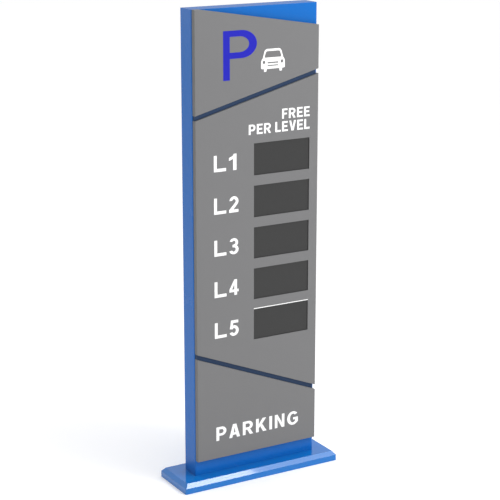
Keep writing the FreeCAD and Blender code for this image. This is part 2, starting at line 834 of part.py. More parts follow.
def make_displays():
    standoffs = []
    leads = []
    centre_x = "(window_right - window_width / 2)"
    for index in range(window_count):
        foot, head = window_span(index)
        middle = "((%s + %s) / 2)" % (foot, head)
        x = ("(%s - board_margin)" % window_left, "(window_right + board_margin)")
        z = ("(%s - board_margin)" % foot, "(%s + board_margin)" % head)
        parts = [box(x, (board_front, board_back), z)]
        parts.append(box(("(%s - connector_width / 2)" % connector_x, "(%s + connector_width / 2)" % connector_x),
                         (board_back, "(%s + connector_depth)" % board_back),
                         ("(%s - connector_height / 2)" % middle, "(%s + connector_height / 2)" % middle)))
        for step in (-1, 0, 1):
            driver = "(%s + digit_pitch * %d + driver_offset)" % (centre_x, step)
            parts.append(box((driver, "(%s + driver_width)" % driver),
                             (board_back, "(%s + driver_depth)" % board_back),
                             ("(%s - driver_height / 2)" % middle, "(%s + driver_height / 2)" % middle)))
        node("display_board_%d" % (index + 1), fuse(*parts))
        digits = [make_digit("(%s + digit_pitch * %d)" % (centre_x, step), middle) for step in (-1, 0, 1)]
        node("digit_block_%d" % (index + 1), group(*digits))
        for side in x:
            for level in z:
                at_x = "(%s %s board_margin / 2)" % (side, "+" if side == x[0] else "-")
                at_z = "(%s %s board_margin / 2)" % (level, "+" if level == z[0] else "-")
                standoffs.append(rod("y", (at_x, at_z), (inner_front, board_front), "standoff_diameter"))
        leads.append(make_lead(middle))
    node("display_standoffs", group(*standoffs))
    node("display_leads", group(*leads))


duct_right = "(%s - board_margin - duct_gap)" % window_left
lead_y = "(%s + connector_depth + lead_bend + 3)" % board_back


def make_lead(level):
    """A lead from a finger slot of the duct, round one bend, into the board's connector."""
    straight = rod("x", (lead_y, level), ("(%s - duct_wall - 2)" % duct_right,
                                          "(%s - lead_bend)" % connector_x), "lead_diameter")
    plunge = rod("y", (connector_x, level), ("(%s + connector_depth)" % board_back,
                                             "(%s - lead_bend)" % lead_y), "lead_diameter")
    bend = fresh("Part::Torus", "Bend")
    bend.Angle3 = 90
    bind(bend, Radius1="lead_bend", Radius2="lead_diameter / 2")
    place(bend, "%s - lead_bend" % connector_x, "%s - lead_bend" % lead_y, level)
    return fuse(straight, bend, plunge)


def make_duct():
    """Slotted wiring duct up the left of the displays, with its clip-on lid."""
    x = ("(%s - duct_width)" % duct_right, duct_right)
    y = (inner_front, "(%s + duct_depth)" % inner_front)
    z = ("(%s - board_margin)" % window_span(window_count - 1)[0], "(window_top + board_margin)")
    inside = box(("(%s + duct_wall)" % x[0], "(%s - duct_wall)" % x[1]),
                 ("(%s + duct_wall)" % y[0], y[1]), z)
    fingers = []
    for index in range(window_count):
        foot, head = window_span(index)
        middle = "((%s + %s) / 2)" % (foot, head)
        for step in (-2, -1, 0, 1, 2):
            level = "(%s + %d * window_pitch / 6)" % (middle, step)
            fingers.append(box(("(%s - duct_wall - 1)" % x[1], "(%s + 1)" % x[1]),
                               ("(%s + duct_finger_foot)" % y[0], "(%s + 1)" % y[1]),
                               ("(%s - lead_diameter / 2 - 1)" % level,
                                "(%s + lead_diameter / 2 + 1)" % level)))
    trough = cut(box(x, y, z), inside, *fingers)
    lid = box(x, (y[1], "(%s + duct_wall)" % y[1]), z)
    node("wiring_duct", group(trough, lid))


# ---- rear door, hinges and locks ----

def make_door():
    pan = cut(rear_block(door_half, door_foot, door_head, ("(%s - door_fold)" % back, back)),
              rear_block("(%s - door_sheet)" % door_half, "(%s + door_sheet)" % door_foot,
                         "(%s - door_sheet)" % door_head, ("(%s - door_fold - 1)" % back, door_inner)))
    through = ("(%s - 1)" % door_inner, "(%s + 1)" % back)
    cuts = []
    for level, count in (("fan_height", 8), ("(filter_level)", 9)):
        for step in range(count):
            z = "(%s + vent_slot_pitch * %s)" % (level, step - (count - 1) / 2)
            cuts.append(box(("(-vent_slot_length / 2)", "(vent_slot_length / 2)"), through,
                            ("(%s - vent_slot_width / 2)" % z, "(%s + vent_slot_width / 2)" % z)))
    for level in ("lock_upper", "lock_lower"):
        cuts.append(rod("y", (lock_x, level), through, "lock_body + lock_barrel_clearance"))
    node("rear_door", cut(pan, *cuts))

    x = ("stiffener_offset", "(stiffener_offset + stiffener_width)")
    y = ("(%s - stiffener_depth)" % door_inner, door_inner)
    z = ("(%s + 150)" % door_foot, "(%s - 150)" % door_head)
    hollow = box(("(%s + stiffener_sheet)" % x[0], "(%s - stiffener_sheet)" % x[1]),
                 ("(%s + stiffener_sheet)" % y[0], "(%s + 1)" % y[1]), z)
    node("door_stiffener", cut(box(x, y, z), hollow))

    outer = "(%s - 0.5)" % opening_half
    gasket_y = (lip_back, "(%s - door_fold - gasket_gap)" % back)
    gasket_z = ("(%s + 0.5)" % opening_foot, "(%s - 0.5)" % opening_head)
    node("door_gasket", ring(("(-%s)" % outer, outer), gasket_y, gasket_z, "gasket_width"))


def make_hinges():
    """Three lift-off hinges: the lower knuckle stays on the rim, the upper one lifts off with the door."""
    frame_leaves = []
    door_leaves = []
    pins = []
    leaf_y = (back, "(%s + hinge_leaf)" % back)
    reach = "(hinge_barrel / 2 + hinge_leaf_gap)"
    for foot in ("(%s + hinge_end_inset)" % door_foot,
                 "((%s + %s) / 2 - hinge_height / 2)" % (door_foot, door_head),
                 "(%s - hinge_end_inset - hinge_height)" % door_head):
        middle = "(%s + hinge_height / 2)" % foot
        head = "(%s + hinge_height)" % foot
        lift = "(%s + hinge_leaf_gap / 2)" % middle
        across = (hinge_x, hinge_y)
        for pieces, side, low, high, width in (
                (frame_leaves, 1, foot, middle, "hinge_frame_leaf_width"),
                (door_leaves, -1, lift, head, "hinge_door_leaf_width")):
            near = "(%s + %s * %d)" % (hinge_x, reach, side)
            far = "(%s + %s * %d)" % (near, width, side)
            leaf = box((near, far) if side > 0 else (far, near), leaf_y, (foot, head))
            web = box((hinge_x, near) if side > 0 else (near, hinge_x), leaf_y, (low, high))
            barrel = rod("z", across, (low, high), "hinge_barrel")
            pieces.append(cut(fuse(leaf, web, barrel), rod("z", across, (low, high), "hinge_bore")))
        pins.append(rod("z", across, (foot, "(%s - 4)" % head), "hinge_pin"))
    node("hinge_frame_leaves", group(*frame_leaves))
    node("hinge_door_leaves", group(*door_leaves))
    node("hinge_pins", group(*pins))


def make_locks():
    """Quarter-turn cam locks, drawn unlocked, with each cam upright beside the lip."""
    bodies = []
    cam_back = "(%s - cam_gap)" % lip_front
    cam_front = "(%s - cam_thickness)" % cam_back
    flange_head = "(%s + lock_flange_height)" % back
    for name, level in (("upper_lock_barrel", "lock_upper"), ("lower_lock_barrel", "lock_lower")):
        across = (lock_x, level)
        inner_end = "(%s + 0.5)" % cam_back
        bore = "lock_barrel + 2 * lock_barrel_clearance"
        housing = cut(fuse(rod("y", across, (inner_end, back), "lock_body"),
                           rod("y", across, (back, flange_head), "lock_flange")),
                      rod("y", across, (inner_end, flange_head), bore))
        nut_span = ("(%s - lock_nut_height)" % door_inner, door_inner)
        nut = cut(hexagon("y", across, nut_span, "lock_nut_corner"),
                  rod("y", across, nut_span, "lock_body + lock_barrel_clearance"))
        bodies += [housing, nut]
        barrel = rod("y", across, (cam_front, "(%s - 0.5)" % flange_head), "lock_barrel")
        cam = box(("(%s - cam_width / 2)" % lock_x, "(%s + cam_width / 2)" % lock_x),
                  (cam_front, cam_back), ("(%s - cam_width / 2)" % level, "(%s + cam_length)" % level))
        keyway = box(("(%s - 0.6)" % lock_x, "(%s + 0.6)" % lock_x),
                     ("(%s - 6)" % flange_head, flange_head), ("(%s - 4)" % level, "(%s + 4)" % level))
        node(name, cut(fuse(barrel, cam), keyway))
    node("lock_housings", group(*bodies))


# ---- fan and filter, both on the door ----

blade_count = 7
blade_angle = 38
blade_drop = -4.5


def make_fan():
    half = "(fan_size / 2)"
    foot = "(%s - fan_depth)" % door_inner
    span = (foot, door_inner)
    axis = ("0", "fan_height")
    corner = "(fan_size / 2 - fan_screw_inset)"
    block = box(("-" + half, half), span, ("(fan_height - %s)" % half, "(fan_height + %s)" % half))
    holes = [rod("y", axis, span, "fan_bore")]
    for sx in (-1, 1):
        for sz in (-1, 1):
            holes.append(rod("y", ("(%s * %d)" % (corner, sx), "(fan_height + %s * %d)" % (corner, sz)),
                             span, "fan_screw_hole"))
    strut_y = ("(%s - fan_strut_depth)" % door_inner, door_inner)
    motor_front = "(%s - fan_motor_depth)" % door_inner
    spokes = [box(("(-fan_bore / 2 - 1)", "(fan_bore / 2 + 1)"), strut_y,
                  ("(fan_height - fan_strut_width / 2)", "(fan_height + fan_strut_width / 2)")),
              box(("(-fan_strut_width / 2)", "(fan_strut_width / 2)"), strut_y,
                  ("(fan_height - fan_bore / 2 - 1)", "(fan_height + fan_bore / 2 + 1)"))]
    motor = rod("y", axis, (motor_front, door_inner), "fan_hub - 2")
    frame = cut(fuse(cut(block, *holes), *spokes, motor),
                rod("y", axis, (motor_front, "(%s + 7)" % motor_front), "fan_shaft_bore"))
    node("fan_frame", frame)

    hub_front = "(%s + 3)" % foot
    hub = rod("y", axis, (hub_front, "(%s - fan_hub_gap)" % motor_front), "fan_hub")
    shaft = rod("y", axis, (hub_front, "(%s + 6)" % motor_front), "fan_shaft")
    blades = []
    blade_reach = "(fan_bore / 2 - fan_blade_clearance - fan_hub / 2 + blade_root)"
    for step in range(blade_count):
        blade = fresh("Part::Box", "Blade")
        bind(blade, Length=blade_reach, Width="blade_thickness", Height="blade_chord")
        pitch = FreeCAD.Rotation(FreeCAD.Vector(1, 0, 0), blade_angle)
        blade.Placement = FreeCAD.Placement(FreeCAD.Vector(number("fan_hub / 2 - blade_root"), 0, blade_drop), pitch)
        turn = FreeCAD.Rotation(FreeCAD.Vector(0, 1, 0), step * 360.0 / blade_count)
        carrier = group(blade)
        carrier.Placement = FreeCAD.Placement(FreeCAD.Vector(), turn)
        place(carrier, 0, "%s + 7" % hub_front, "fan_height")
        blades.append(carrier)
    node("fan_rotor", fuse(hub, shaft, *blades))

    wires = []
    guard_y = "(%s - guard_wire / 2)" % foot
    for radius in ("guard_inner", "guard_middle", "guard_outer"):
        loop = fresh("Part::Torus", "Loop")
        bind(loop, Radius1=radius, Radius2="guard_wire / 2")
        wires.append(along(loop, "y", axis, guard_y))
    for sx in (-1, 1):
        for sz in (-1, 1):
            wires.append(guard_leg(sx, sz, guard_y, corner))
    node("fan_guard", fuse(*wires))


def guard_leg(sx, sz, guard_y, corner):
    """A wire from the inner loop out to one corner, ending in an eye at the fan's screw hole."""
    leg = fresh("Part::Cylinder", "Leg")
    bind(leg, Radius="guard_wire / 2", Height="(%s * sqrt(2) - guard_inner)" % corner)
    turn = FreeCAD.Rotation(FreeCAD.Vector(0, 0, 1), FreeCAD.Vector(sx, 0, sz))
    leg.Placement = FreeCAD.Placement(FreeCAD.Vector(), turn)
    place(leg, "guard_inner / sqrt(2) * %d" % sx, guard_y, "fan_height + guard_inner / sqrt(2) * %d" % sz)
    at = ("(%s * %d)" % (corner, sx), "(fan_height + %s * %d)" % (corner, sz))
    eye = rod("y", at, ("(%s - guard_wire / 2)" % guard_y, "(%s + guard_wire / 2)" % guard_y), "guard_eye")
    return fuse(leg, eye)


def make_filter():
    half = "(filter_width / 2)"
    x = ("(-%s)" % half, half)
    y = ("(%s - filter_depth)" % door_inner, door_inner)
    z = ("(filter_level - filter_height / 2)", "(filter_level + filter_height / 2)")
    node("filter_frame", ring(x, y, z, "filter_wall"))
    wall = "(filter_wall + filter_play)"
    node("filter_pad", box(("(-%s + %s)" % (half, wall), "(%s - %s)" % (half, wall)),
                           ("(%s + 1)" % y[0], "(%s - filter_play)" % door_inner),
                           ("(%s + %s)" % (z[0], wall), "(%s - %s)" % (z[1], wall))))


# ---- equipment on the lower plate ----

def make_equipment_plate():
    z = ("plate_bottom", "(plate_bottom + plate_height)")
    node("equipment_plate", box(("(-plate_half_width)", "plate_half_width"), (board_front, plate_back), z))
    spacers = []
    for side in (-1, 1):
        for level in ("(%s + plate_spacer_inset)" % z[0], "(%s - plate_spacer_inset)" % z[1]):
            x = "((plate_half_width - plate_spacer_inset) * %d)" % side
            spacers.append(rod("y", (x, level), (inner_front, board_front), "spacer_diameter"))
    return spacers


rail_left = "(-plate_half_width + 20)"
rail_top = "(rail_level + rail_height / 2)"
rail_foot = "(rail_level - rail_height / 2)"
rail_face = "(%s + rail_depth)" % plate_back
module_back = "(%s + 0.2)" % rail_face
body_face = "(%s + module_body_depth)" % module_back
nose_face = "(%s + module_nose_depth)" % body_face


def make_rail():
    """Top-hat rail: two flanges at the face, two webs and a back on the plate."""
    y_back = plate_back
    inner_face = "(%s - rail_sheet)" % rail_face
    inner_back_face = "(%s + rail_sheet)" % y_back
    web_top = "(%s - rail_flange)" % rail_top
    web_foot = "(%s + rail_flange)" % rail_foot
    points = [(y_back, web_foot), (y_back, web_top), (inner_face, web_top), (inner_face, rail_top),
              (rail_face, rail_top), (rail_face, "(%s - rail_sheet)" % web_top),
              (inner_back_face, "(%s - rail_sheet)" % web_top),
              (inner_back_face, "(%s + rail_sheet)" % web_foot),
              (rail_face, "(%s + rail_sheet)" % web_foot), (rail_face, rail_foot),
              (inner_face, rail_foot), (inner_face, web_foot)]
    body, pad = outline_body("DinRail", "YZ_Plane", points, "rail_length")
    place(body, rail_left, 0, 0)
    node("din_rail", body)


def module(left, width):
    """A rail-mounted device: a deep body with a narrower nose."""
    right = "(%s + %s)" % (left, width)
    body = box((left, right), (module_back, body_face),
               ("(rail_level - module_height / 2)", "(rail_level + module_height / 2)"))
    nose = box((left, right), (body_face, nose_face),
               ("(rail_level - module_nose_height / 2)", "(rail_level + module_nose_height / 2)"))
    return fuse(body, nose)


breaker_left = "(%s + 20)" % rail_left
toggle_x = "(%s + breaker_width / 3)" % breaker_left
button_x = "(%s + breaker_width * 0.8)" % breaker_left
arrester_left = "(%s + breaker_width + 1)" % breaker_left
terminals_left = "(%s + arrester_width + 12)" % arrester_left
terminal_count = 12
supply_slot_count = 9


def make_rail_devices():
    toggle_half = "(toggle_width / 2)"
    drum = "(toggle_diameter / 2)"
    room = "toggle_clearance"
    slot = rod("x", (nose_face, "rail_level"),
               ("(%s - %s - %s)" % (toggle_x, toggle_half, room), "(%s + %s + %s)" % (toggle_x, toggle_half, room)),
               "(toggle_diameter + 2 * toggle_clearance)")
    pivot = rod("x", (nose_face, "rail_level"),
                ("(%s - %s - 2)" % (toggle_x, toggle_half), "(%s + %s + 2)" % (toggle_x, toggle_half)), "2.1")
    half = "(button_size / 2 + button_clearance)"
    well = box(("(%s - %s)" % (button_x, half), "(%s + %s)" % (button_x, half)),
               ("(%s - 5)" % nose_face, "(%s + 1)" % nose_face),
               ("(rail_level - %s)" % half, "(rail_level + %s)" % half))
    node("breaker_body", cut(module(breaker_left, "breaker_width"), slot, pivot, well))

    wheel = rod("x", (nose_face, "rail_level"), ("(%s - %s)" % (toggle_x, toggle_half),
                                                 "(%s + %s)" % (toggle_x, toggle_half)), "toggle_diameter")
    axle = rod("x", (nose_face, "rail_level"), ("(%s - %s - 1.8)" % (toggle_x, toggle_half),
                                                "(%s + %s + 1.8)" % (toggle_x, toggle_half)), "2")
    lever = fresh("Part::Box", "Lever")
    bind(lever, Length="toggle_width - 3", Width="toggle_diameter / 2 + toggle_lever", Height="4")
    lever.Placement = FreeCAD.Placement(FreeCAD.Vector(), FreeCAD.Rotation(FreeCAD.Vector(1, 0, 0), 38))
    place(lever, "%s - %s + 1.5" % (toggle_x, toggle_half), nose_face, "rail_level - 2")
    node("breaker_toggle", fuse(wheel, axle, lever))

    cap = "(button_size / 2)"
    node("test_button", box(("(%s - %s)" % (button_x, cap), "(%s + %s)" % (button_x, cap)),
                            ("(%s - 5 + button_travel + 0.3)" % nose_face,
                             "(%s + button_travel + 0.6)" % nose_face),
                            ("(rail_level - %s)" % cap, "(rail_level + %s)" % cap)))
    node("surge_arrester", module(arrester_left, "arrester_width"))

    blocks = []
    for step in range(terminal_count):
        left = "(%s + %d * terminal_pitch)" % (terminals_left, step)
        right = "(%s + terminal_width)" % left
        face = "(%s + terminal_depth)" % module_back
        block = box((left, right), (module_back, face),
                    ("(rail_level - terminal_height / 2)", "(rail_level + terminal_height / 2)"))
        screws = [rod("y", ("(%s + terminal_width / 2)" % left, "(rail_level + terminal_screw_level * %d)" % end),
                      ("(%s - terminal_screw_depth)" % face, "(%s + 1)" % face), "terminal_screw")
                  for end in (-1, 1)]
        blocks.append(cut(block, *screws))
    node("terminal_blocks", group(*blocks))


def make_power_supply():
    left = rail_left
    right = "(%s + supply_width)" % left
    foot = "(plate_bottom + supply_rise)"
    head = "(%s + supply_height)" % foot
    y = (plate_back, "(%s + supply_depth)" % plate_back)
    case = box((left, right), y, (foot, head))
    terminals = box(("(%s + supply_terminal_inset)" % left, "(%s - supply_terminal_inset)" % right),
                    (plate_back, "(%s + supply_terminal_depth)" % plate_back),
                    ("(%s - supply_terminal_height)" % foot, foot))
    slots = []
    for step in range(supply_slot_count):
        level = "(%s + supply_slot_start + %d * supply_slot_pitch)" % (foot, step)
        slots.append(box(("(%s + supply_slot_inset)" % left, "(%s - supply_slot_inset)" % right),
                         ("(%s - supply_slot_depth)" % y[1], "(%s + 1)" % y[1]),
                         (level, "(%s + supply_slot_width)" % level)))
    node("power_supply", cut(fuse(case, terminals), *slots))


# Blocks on the controller board: distance from its left and lower edges, width, height and depth.
controller_blocks = {
    "supply_terminals": (8, 8, 60, 10, 11),
    "display_terminals": (80, 8, 60, 10, 11),
    "network_terminals": (10, 92, 44, 12, 9),
    "processor": (50, 45, 26, 26, 3),
    "line_driver": (100, 50, 16, 22, 3),
    "network_socket": (90, 86, 18, 16, 12),
    "lower_capacitor": (12, 40, 14, 14, 14),
    "upper_capacitor": (12, 62, 14, 14, 14),
}


def make_controller():
    left = "(plate_half_width - controller_inset - controller_width)"
    foot = "(plate_bottom + controller_rise)"
    y0 = "(%s + controller_standoff)" % plate_back
    y1 = "(%s + board_thickness)" % y0
    right = "(%s + controller_width)" % left
    head = "(%s + controller_height)" % foot
    parts = [box((left, right), (y0, y1), (foot, head))]
    for x, z, wide, high, deep in controller_blocks.values():
        parts.append(box(("(%s + %d)" % (left, x), "(%s + %d)" % (left, x + wide)),
                         (y1, "(%s + %d)" % (y1, deep)),
                         ("(%s + %d)" % (foot, z), "(%s + %d)" % (foot, z + high))))
    node("controller_board", fuse(*parts))
    return [rod("y", (x, z), (plate_back, y0), "standoff_diameter")
            for x in ("(%s + controller_post_inset)" % left, "(%s - controller_post_inset)" % right)
            for z in ("(%s + controller_post_inset)" % foot, "(%s - controller_post_inset)" % head)]


def make_cable_entry():
    half_x = "(gland_plate_width / 2)"
    half_y = "(gland_plate_depth / 2)"
    plate_head = "(%s + gland_plate_sheet)" % floor_top
    plate = box(("-" + half_x, half_x), ("-" + half_y, half_y), (floor_top, plate_head))
    node("gland_plate", cut(plate, rod("z", ("0", "0"), (floor_top, plate_head), "gland_thread + 0.2")))
    across = ("0", "0")
    collar_head = "(%s + gland_collar)" % plate_head
    nut_foot = "(%s - gland_nut)" % floor_top
    stem_foot = "(%s - gland_tail)" % floor_top
    dome_head = "(%s + gland_dome)" % collar_head
    core = fuse(rod("z", across, (stem_foot, collar_head), "gland_thread"),
                hexagon("z", across, (plate_head, collar_head), "gland_corner"))
    core = cut(core, rod("z", across, (stem_foot, collar_head), "gland_bore"))
    dome = cut(hexagon("z", across, (collar_head, dome_head), "gland_corner - 2"),
               rod("z", across, (collar_head, dome_head), "gland_bore"))
    ring_nut = cut(hexagon("z", across, (nut_foot, floor_top), "gland_corner"),
                   rod("z", across, (nut_foot, floor_top), "gland_thread + 0.1"))
    node("cable_gland", group(core, dome, ring_nut))
    make_earth_stud()


def make_earth_stud():
    """A brass stud on the cabinet floor with a washer and two nuts."""
    at = ("(gland_plate_width / 2 + earth_offset)", "0")
    stud = rod("z", at, (floor_top, "(%s + earth_length)" % floor_top), "earth_diameter")
    washer_head = "(%s + earth_washer_height)" % floor_top
    washer = tube("z", at, (floor_top, washer_head), "earth_washer", "earth_washer_bore")
    lug_head = "(%s + earth_nut_height)" % washer_head
    nut_head = "(%s + earth_nut_height)" % lug_head
    nuts = [cut(hexagon("z", at, span, "earth_nut_corner"), rod("z", at, span, "earth_nut_bore"))
            for span in ((lug_head, nut_head), (washer_head, lug_head))]
    node("earth_stud", group(stud, nuts[0], washer, nuts[1]))


def build():
    make_base_plate()
    make_plinth_cover()
    make_frame()
    make_cabinet_shell()
    make_door_surround()
    make_shell_bolts()
    make_panels()
    make_panel_fixings()
    make_windows()
    make_displays()
    make_duct()
    supports = make_equipment_plate()
    make_rail()
    make_rail_devices()
    make_power_supply()
    supports += make_controller()
    node("equipment_standoffs", group(*supports))
    make_cable_entry()
    make_door()
    make_hinges()
    make_locks()
    make_fan()
    make_filter()
    doc.recompute()


def check_and_write():
    for item in doc.Objects:
        assert not {"Invalid", "Error"} & set(item.State), "%s failed: %s" % (item.Label, item.State)
    for item in nodes:
        assert not item.Shape.isNull() and item.Shape.isValid(), item.Label + " has no valid shape"
    os.makedirs("parts", exist_ok=True)
    for item in nodes:
        item.Shape.exportStep("parts/%s.step" % item.Label)
        print("%-22s %3d solids %12.1f mm3" % (item.Label, len(item.Shape.Solids), item.Shape.Volume))
    print(len(nodes), "nodes")


build()
check_and_write()
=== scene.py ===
import math

import bmesh
import bpy
from mathutils import Matrix, Vector


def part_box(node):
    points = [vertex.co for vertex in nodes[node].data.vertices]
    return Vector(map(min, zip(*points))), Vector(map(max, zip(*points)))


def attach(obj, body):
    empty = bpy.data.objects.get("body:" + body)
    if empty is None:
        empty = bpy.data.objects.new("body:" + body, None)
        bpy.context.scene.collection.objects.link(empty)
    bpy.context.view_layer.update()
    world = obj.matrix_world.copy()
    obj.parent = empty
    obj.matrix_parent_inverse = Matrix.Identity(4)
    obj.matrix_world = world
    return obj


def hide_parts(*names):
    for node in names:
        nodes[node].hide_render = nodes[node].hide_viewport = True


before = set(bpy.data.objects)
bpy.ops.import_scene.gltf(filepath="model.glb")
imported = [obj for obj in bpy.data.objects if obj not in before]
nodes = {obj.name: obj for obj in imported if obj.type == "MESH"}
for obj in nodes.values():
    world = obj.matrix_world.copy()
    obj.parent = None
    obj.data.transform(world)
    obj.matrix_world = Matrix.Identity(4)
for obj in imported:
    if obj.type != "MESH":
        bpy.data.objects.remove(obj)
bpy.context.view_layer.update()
mm = 0.001
print("frame loaded:", len(nodes), "nodes")

cameraSet = {"place": (-3.250, -5.583, 2.746), "pitch": math.pi / 2 - 0.2625, "heading": -0.5274,
             "lens": 111.81, "sensor": 36}

cameraData = bpy.data.cameras.new("camera")
cameraData.lens = cameraSet["lens"]
cameraData.sensor_width = cameraSet["sensor"]
camera = bpy.data.objects.new("camera", cameraData)
camera.location = cameraSet["place"]
camera.rotation_euler = (cameraSet["pitch"], 0, cameraSet["heading"])
bpy.context.collection.objects.link(camera)
bpy.context.scene.camera = camera
bpy.context.scene.view_settings.view_transform = "Standard"

# each softbox: where it stands, what it looks at, its two sides and its watts
softboxes = {
    "glintRight": ((1.85, -2.8, 4.15), (-0.3, -0.11, 0.035), (1.0, 1.0), 38),
    "glintBroad": ((2.75, -2.75, 4.05), (0, -0.11, 0.035), (1.5, 1.0), 17),
    "frontKey": ((2.4, -4.4, 3.4), (0, 0, 0.9), (2.6, 2.0), 62),
    "rearFill": ((-1.6, 4.6, 2.8), (0, 0, 1.0), (3.0, 3.0), 20),
}
for name, (place, target, sides, watts) in softboxes.items():
    lamp = bpy.data.lights.new(name, "AREA")
    lamp.shape = "RECTANGLE"
    lamp.size, lamp.size_y = sides
    lamp.energy = watts
    stand = bpy.data.objects.new(name, lamp)
    stand.location = place
    stand.rotation_euler = (Vector(target) - stand.location).to_track_quat("-Z", "Y").to_euler()
    bpy.context.collection.objects.link(stand)
print("camera and lamps placed")


class Signal:  # one output of a shader tree, usable in plain sums
    def __init__(self, finish, socket):
        self.finish, self.socket = finish, socket

    def maths(self, operation, first, second):
        return self.finish.node("Math", {"operation": operation}, {0: first, 1: second})

    def __add__(self, other):
        return self.maths("ADD", self, other)

    def __radd__(self, other):
        return self.maths("ADD", other, self)

    def __sub__(self, other):
        return self.maths("SUBTRACT", self, other)

    def __rsub__(self, other):
        return self.maths("SUBTRACT", other, self)

    def __mul__(self, other):
        return self.maths("MULTIPLY", self, other)

    def __rmul__(self, other):
        return self.maths("MULTIPLY", other, self)

    def __truediv__(self, other):
        return self.maths("DIVIDE", self, other)

    def __rtruediv__(self, other):
        return self.maths("DIVIDE", other, self)

    def __gt__(self, other):
        return self.maths("GREATER_THAN", self, other)

    def __lt__(self, other):
        return self.maths("LESS_THAN", self, other)


class Finish:  # a material with a short way to fill its tree
    def __init__(self, name, library=bpy.data.materials, output="Object"):
        self.material = library.new(name)
        self.material.use_nodes = True
        self.tree = self.material.node_tree
        self.tree.nodes.clear()
        self.spot = self.node("TexCoord", output=output)

    def node(self, kind, settings=None, sockets=None, output=0):
        made = self.tree.nodes.new("ShaderNode" + kind)
        for key, value in (settings or {}).items():
            setattr(made, key, value)
        for key, value in (sockets or {}).items():
            self.feed(made.inputs[key], value)
        if made.outputs:
            return Signal(self, made.outputs[output])

    def feed(self, socket, value):
        if isinstance(value, Signal):
            self.tree.links.new(value.socket, socket)
        elif socket.type == "RGBA" and len(value) == 3:
            socket.default_value = (*value, 1)
        else:
            socket.default_value = value

    def noise(self, scale, detail=3, rough=0.55, spot=None):
        sockets = {"Vector": spot or self.spot, "Scale": scale, "Detail": detail, "Roughness": rough}
        return self.node("TexNoise", None, sockets, "Fac")

    def cells(self, scale, output, feature="F1"):
        return self.node("TexVoronoi", {"feature": feature}, {"Vector": self.spot, "Scale": scale}, output)

    def stretched(self, scale):
        return self.node("Mapping", None, {"Vector": self.spot, "Scale": scale})

    def blend(self, mask, under, over):
        return self.node("Mix", {"data_type": "RGBA"}, {0: mask, 6: under, 7: over}, 2)

    def brightness(self, colour):  # one channel of a cell's random colour
        return self.node("SeparateColor", None, {"Color": colour}, "Red")

    def axes(self):
        parts = self.node("SeparateXYZ", None, {"Vector": self.spot}).socket.node
        return [Signal(self, socket) for socket in parts.outputs]

    def single(self, operation, value):  # a sum of one value, such as FLOOR
        return self.node("Math", {"operation": operation}, {0: value})

    def bump(self, height, distance):
        return self.node("Bump", None, {"Strength": 1.0, "Distance": distance, "Height": height}, "Normal")

    def surface(self, **sockets):
        values = {key.replace("_", " "): value for key, value in sockets.items()}
        self.node("OutputMaterial", None, {"Surface": self.node("BsdfPrincipled", None, values)})
        return self.material


def tint(red, green, blue):  # a screen colour as linear light
    def linear(channel):
        share = channel / 255
        return share / 12.92 if share <= 0.04045 else ((share + 0.055) / 1.055) ** 2.4
    return tuple(linear(channel) for channel in (red, green, blue))


def shade(colour, gain):  # the same colour, darker or lighter
    return tuple(min(1.0, channel * gain) for channel in colour)


def powderCoat(name, look):
    coat = Finish(name)
    drift = coat.noise(look["driftScale"], 2)
    speck = coat.noise(look["speckScale"], 2, 0.7)
    smudge = coat.noise(look["smudgeScale"], 5, 0.62)
    colour, swing = look["colour"], look["drift"]
    tone = coat.blend(drift, shade(colour, 1 - swing), shade(colour, 1 + swing))
    tone = coat.blend((speck > look["speckFrom"]) * look["speck"], tone, shade(colour, look["speckGain"]))
    peel = coat.noise(look["peelScale"], 2, 0.5)
    sand = coat.noise(look["peelScale"] * look["sandTimes"], 1, 0.5)
    return coat.surface(Base_Color=tone, Roughness=look["roughness"] + (smudge - 0.5) * look["smudge"],
                        Coat_Weight=look["coat"], Coat_Roughness=look["coatRoughness"],
                        Specular_IOR_Level=look["specular"],
                        Normal=coat.bump(peel + sand * look["sand"], look["peel"]))


def plainMetal(name, look):
    metal = Finish(name)
    grain = metal.noise(1, 4, 0.6, metal.stretched(look["grainScale"]))
    stain = metal.noise(look["stainScale"], 3)
    dark, light = look["stainShades"]
    tone = metal.blend(stain, shade(look["colour"], dark), shade(look["colour"], light))
    scratch = (grain > look["scratchFrom"]) * look["scratchMix"]
    tone = metal.blend(scratch, tone, shade(look["colour"], look["scratchShade"]))
    gloss = look["roughness"] + (grain - 0.5) * look["grainGloss"] + (stain - 0.5) * look["stainGloss"]
    return metal.surface(Base_Color=tone, Metallic=look["metallic"], Roughness=gloss,
                         Normal=metal.bump(grain, look["relief"]))


def galvanisedSteel(name, look):
    zinc = Finish(name)
    flake = zinc.brightness(zinc.cells(look["flakeScale"], "Color"))
    small = zinc.brightness(zinc.cells(look["flakeScale"] * look["smallTimes"], "Color"))
    bloom = zinc.noise(look["bloomScale"], 4, 0.65)
    mix = flake * (1 - look["smallShare"]) + small * look["smallShare"]
    dark, light = look["shades"]
    tone = zinc.blend(mix, shade(look["colour"], dark), shade(look["colour"], light))
    tone = zinc.blend((bloom > look["bloomFrom"]) * look["bloomMix"], tone, look["bloom"])
    height = mix * look["flakeRelief"] + zinc.noise(look["grainScale"], 2) * look["grainRelief"]
    return zinc.surface(Base_Color=tone, Metallic=look["metallic"],
                        Roughness=look["roughness"] + mix * look["gloss"],
                        Normal=zinc.bump(height, look["relief"]))


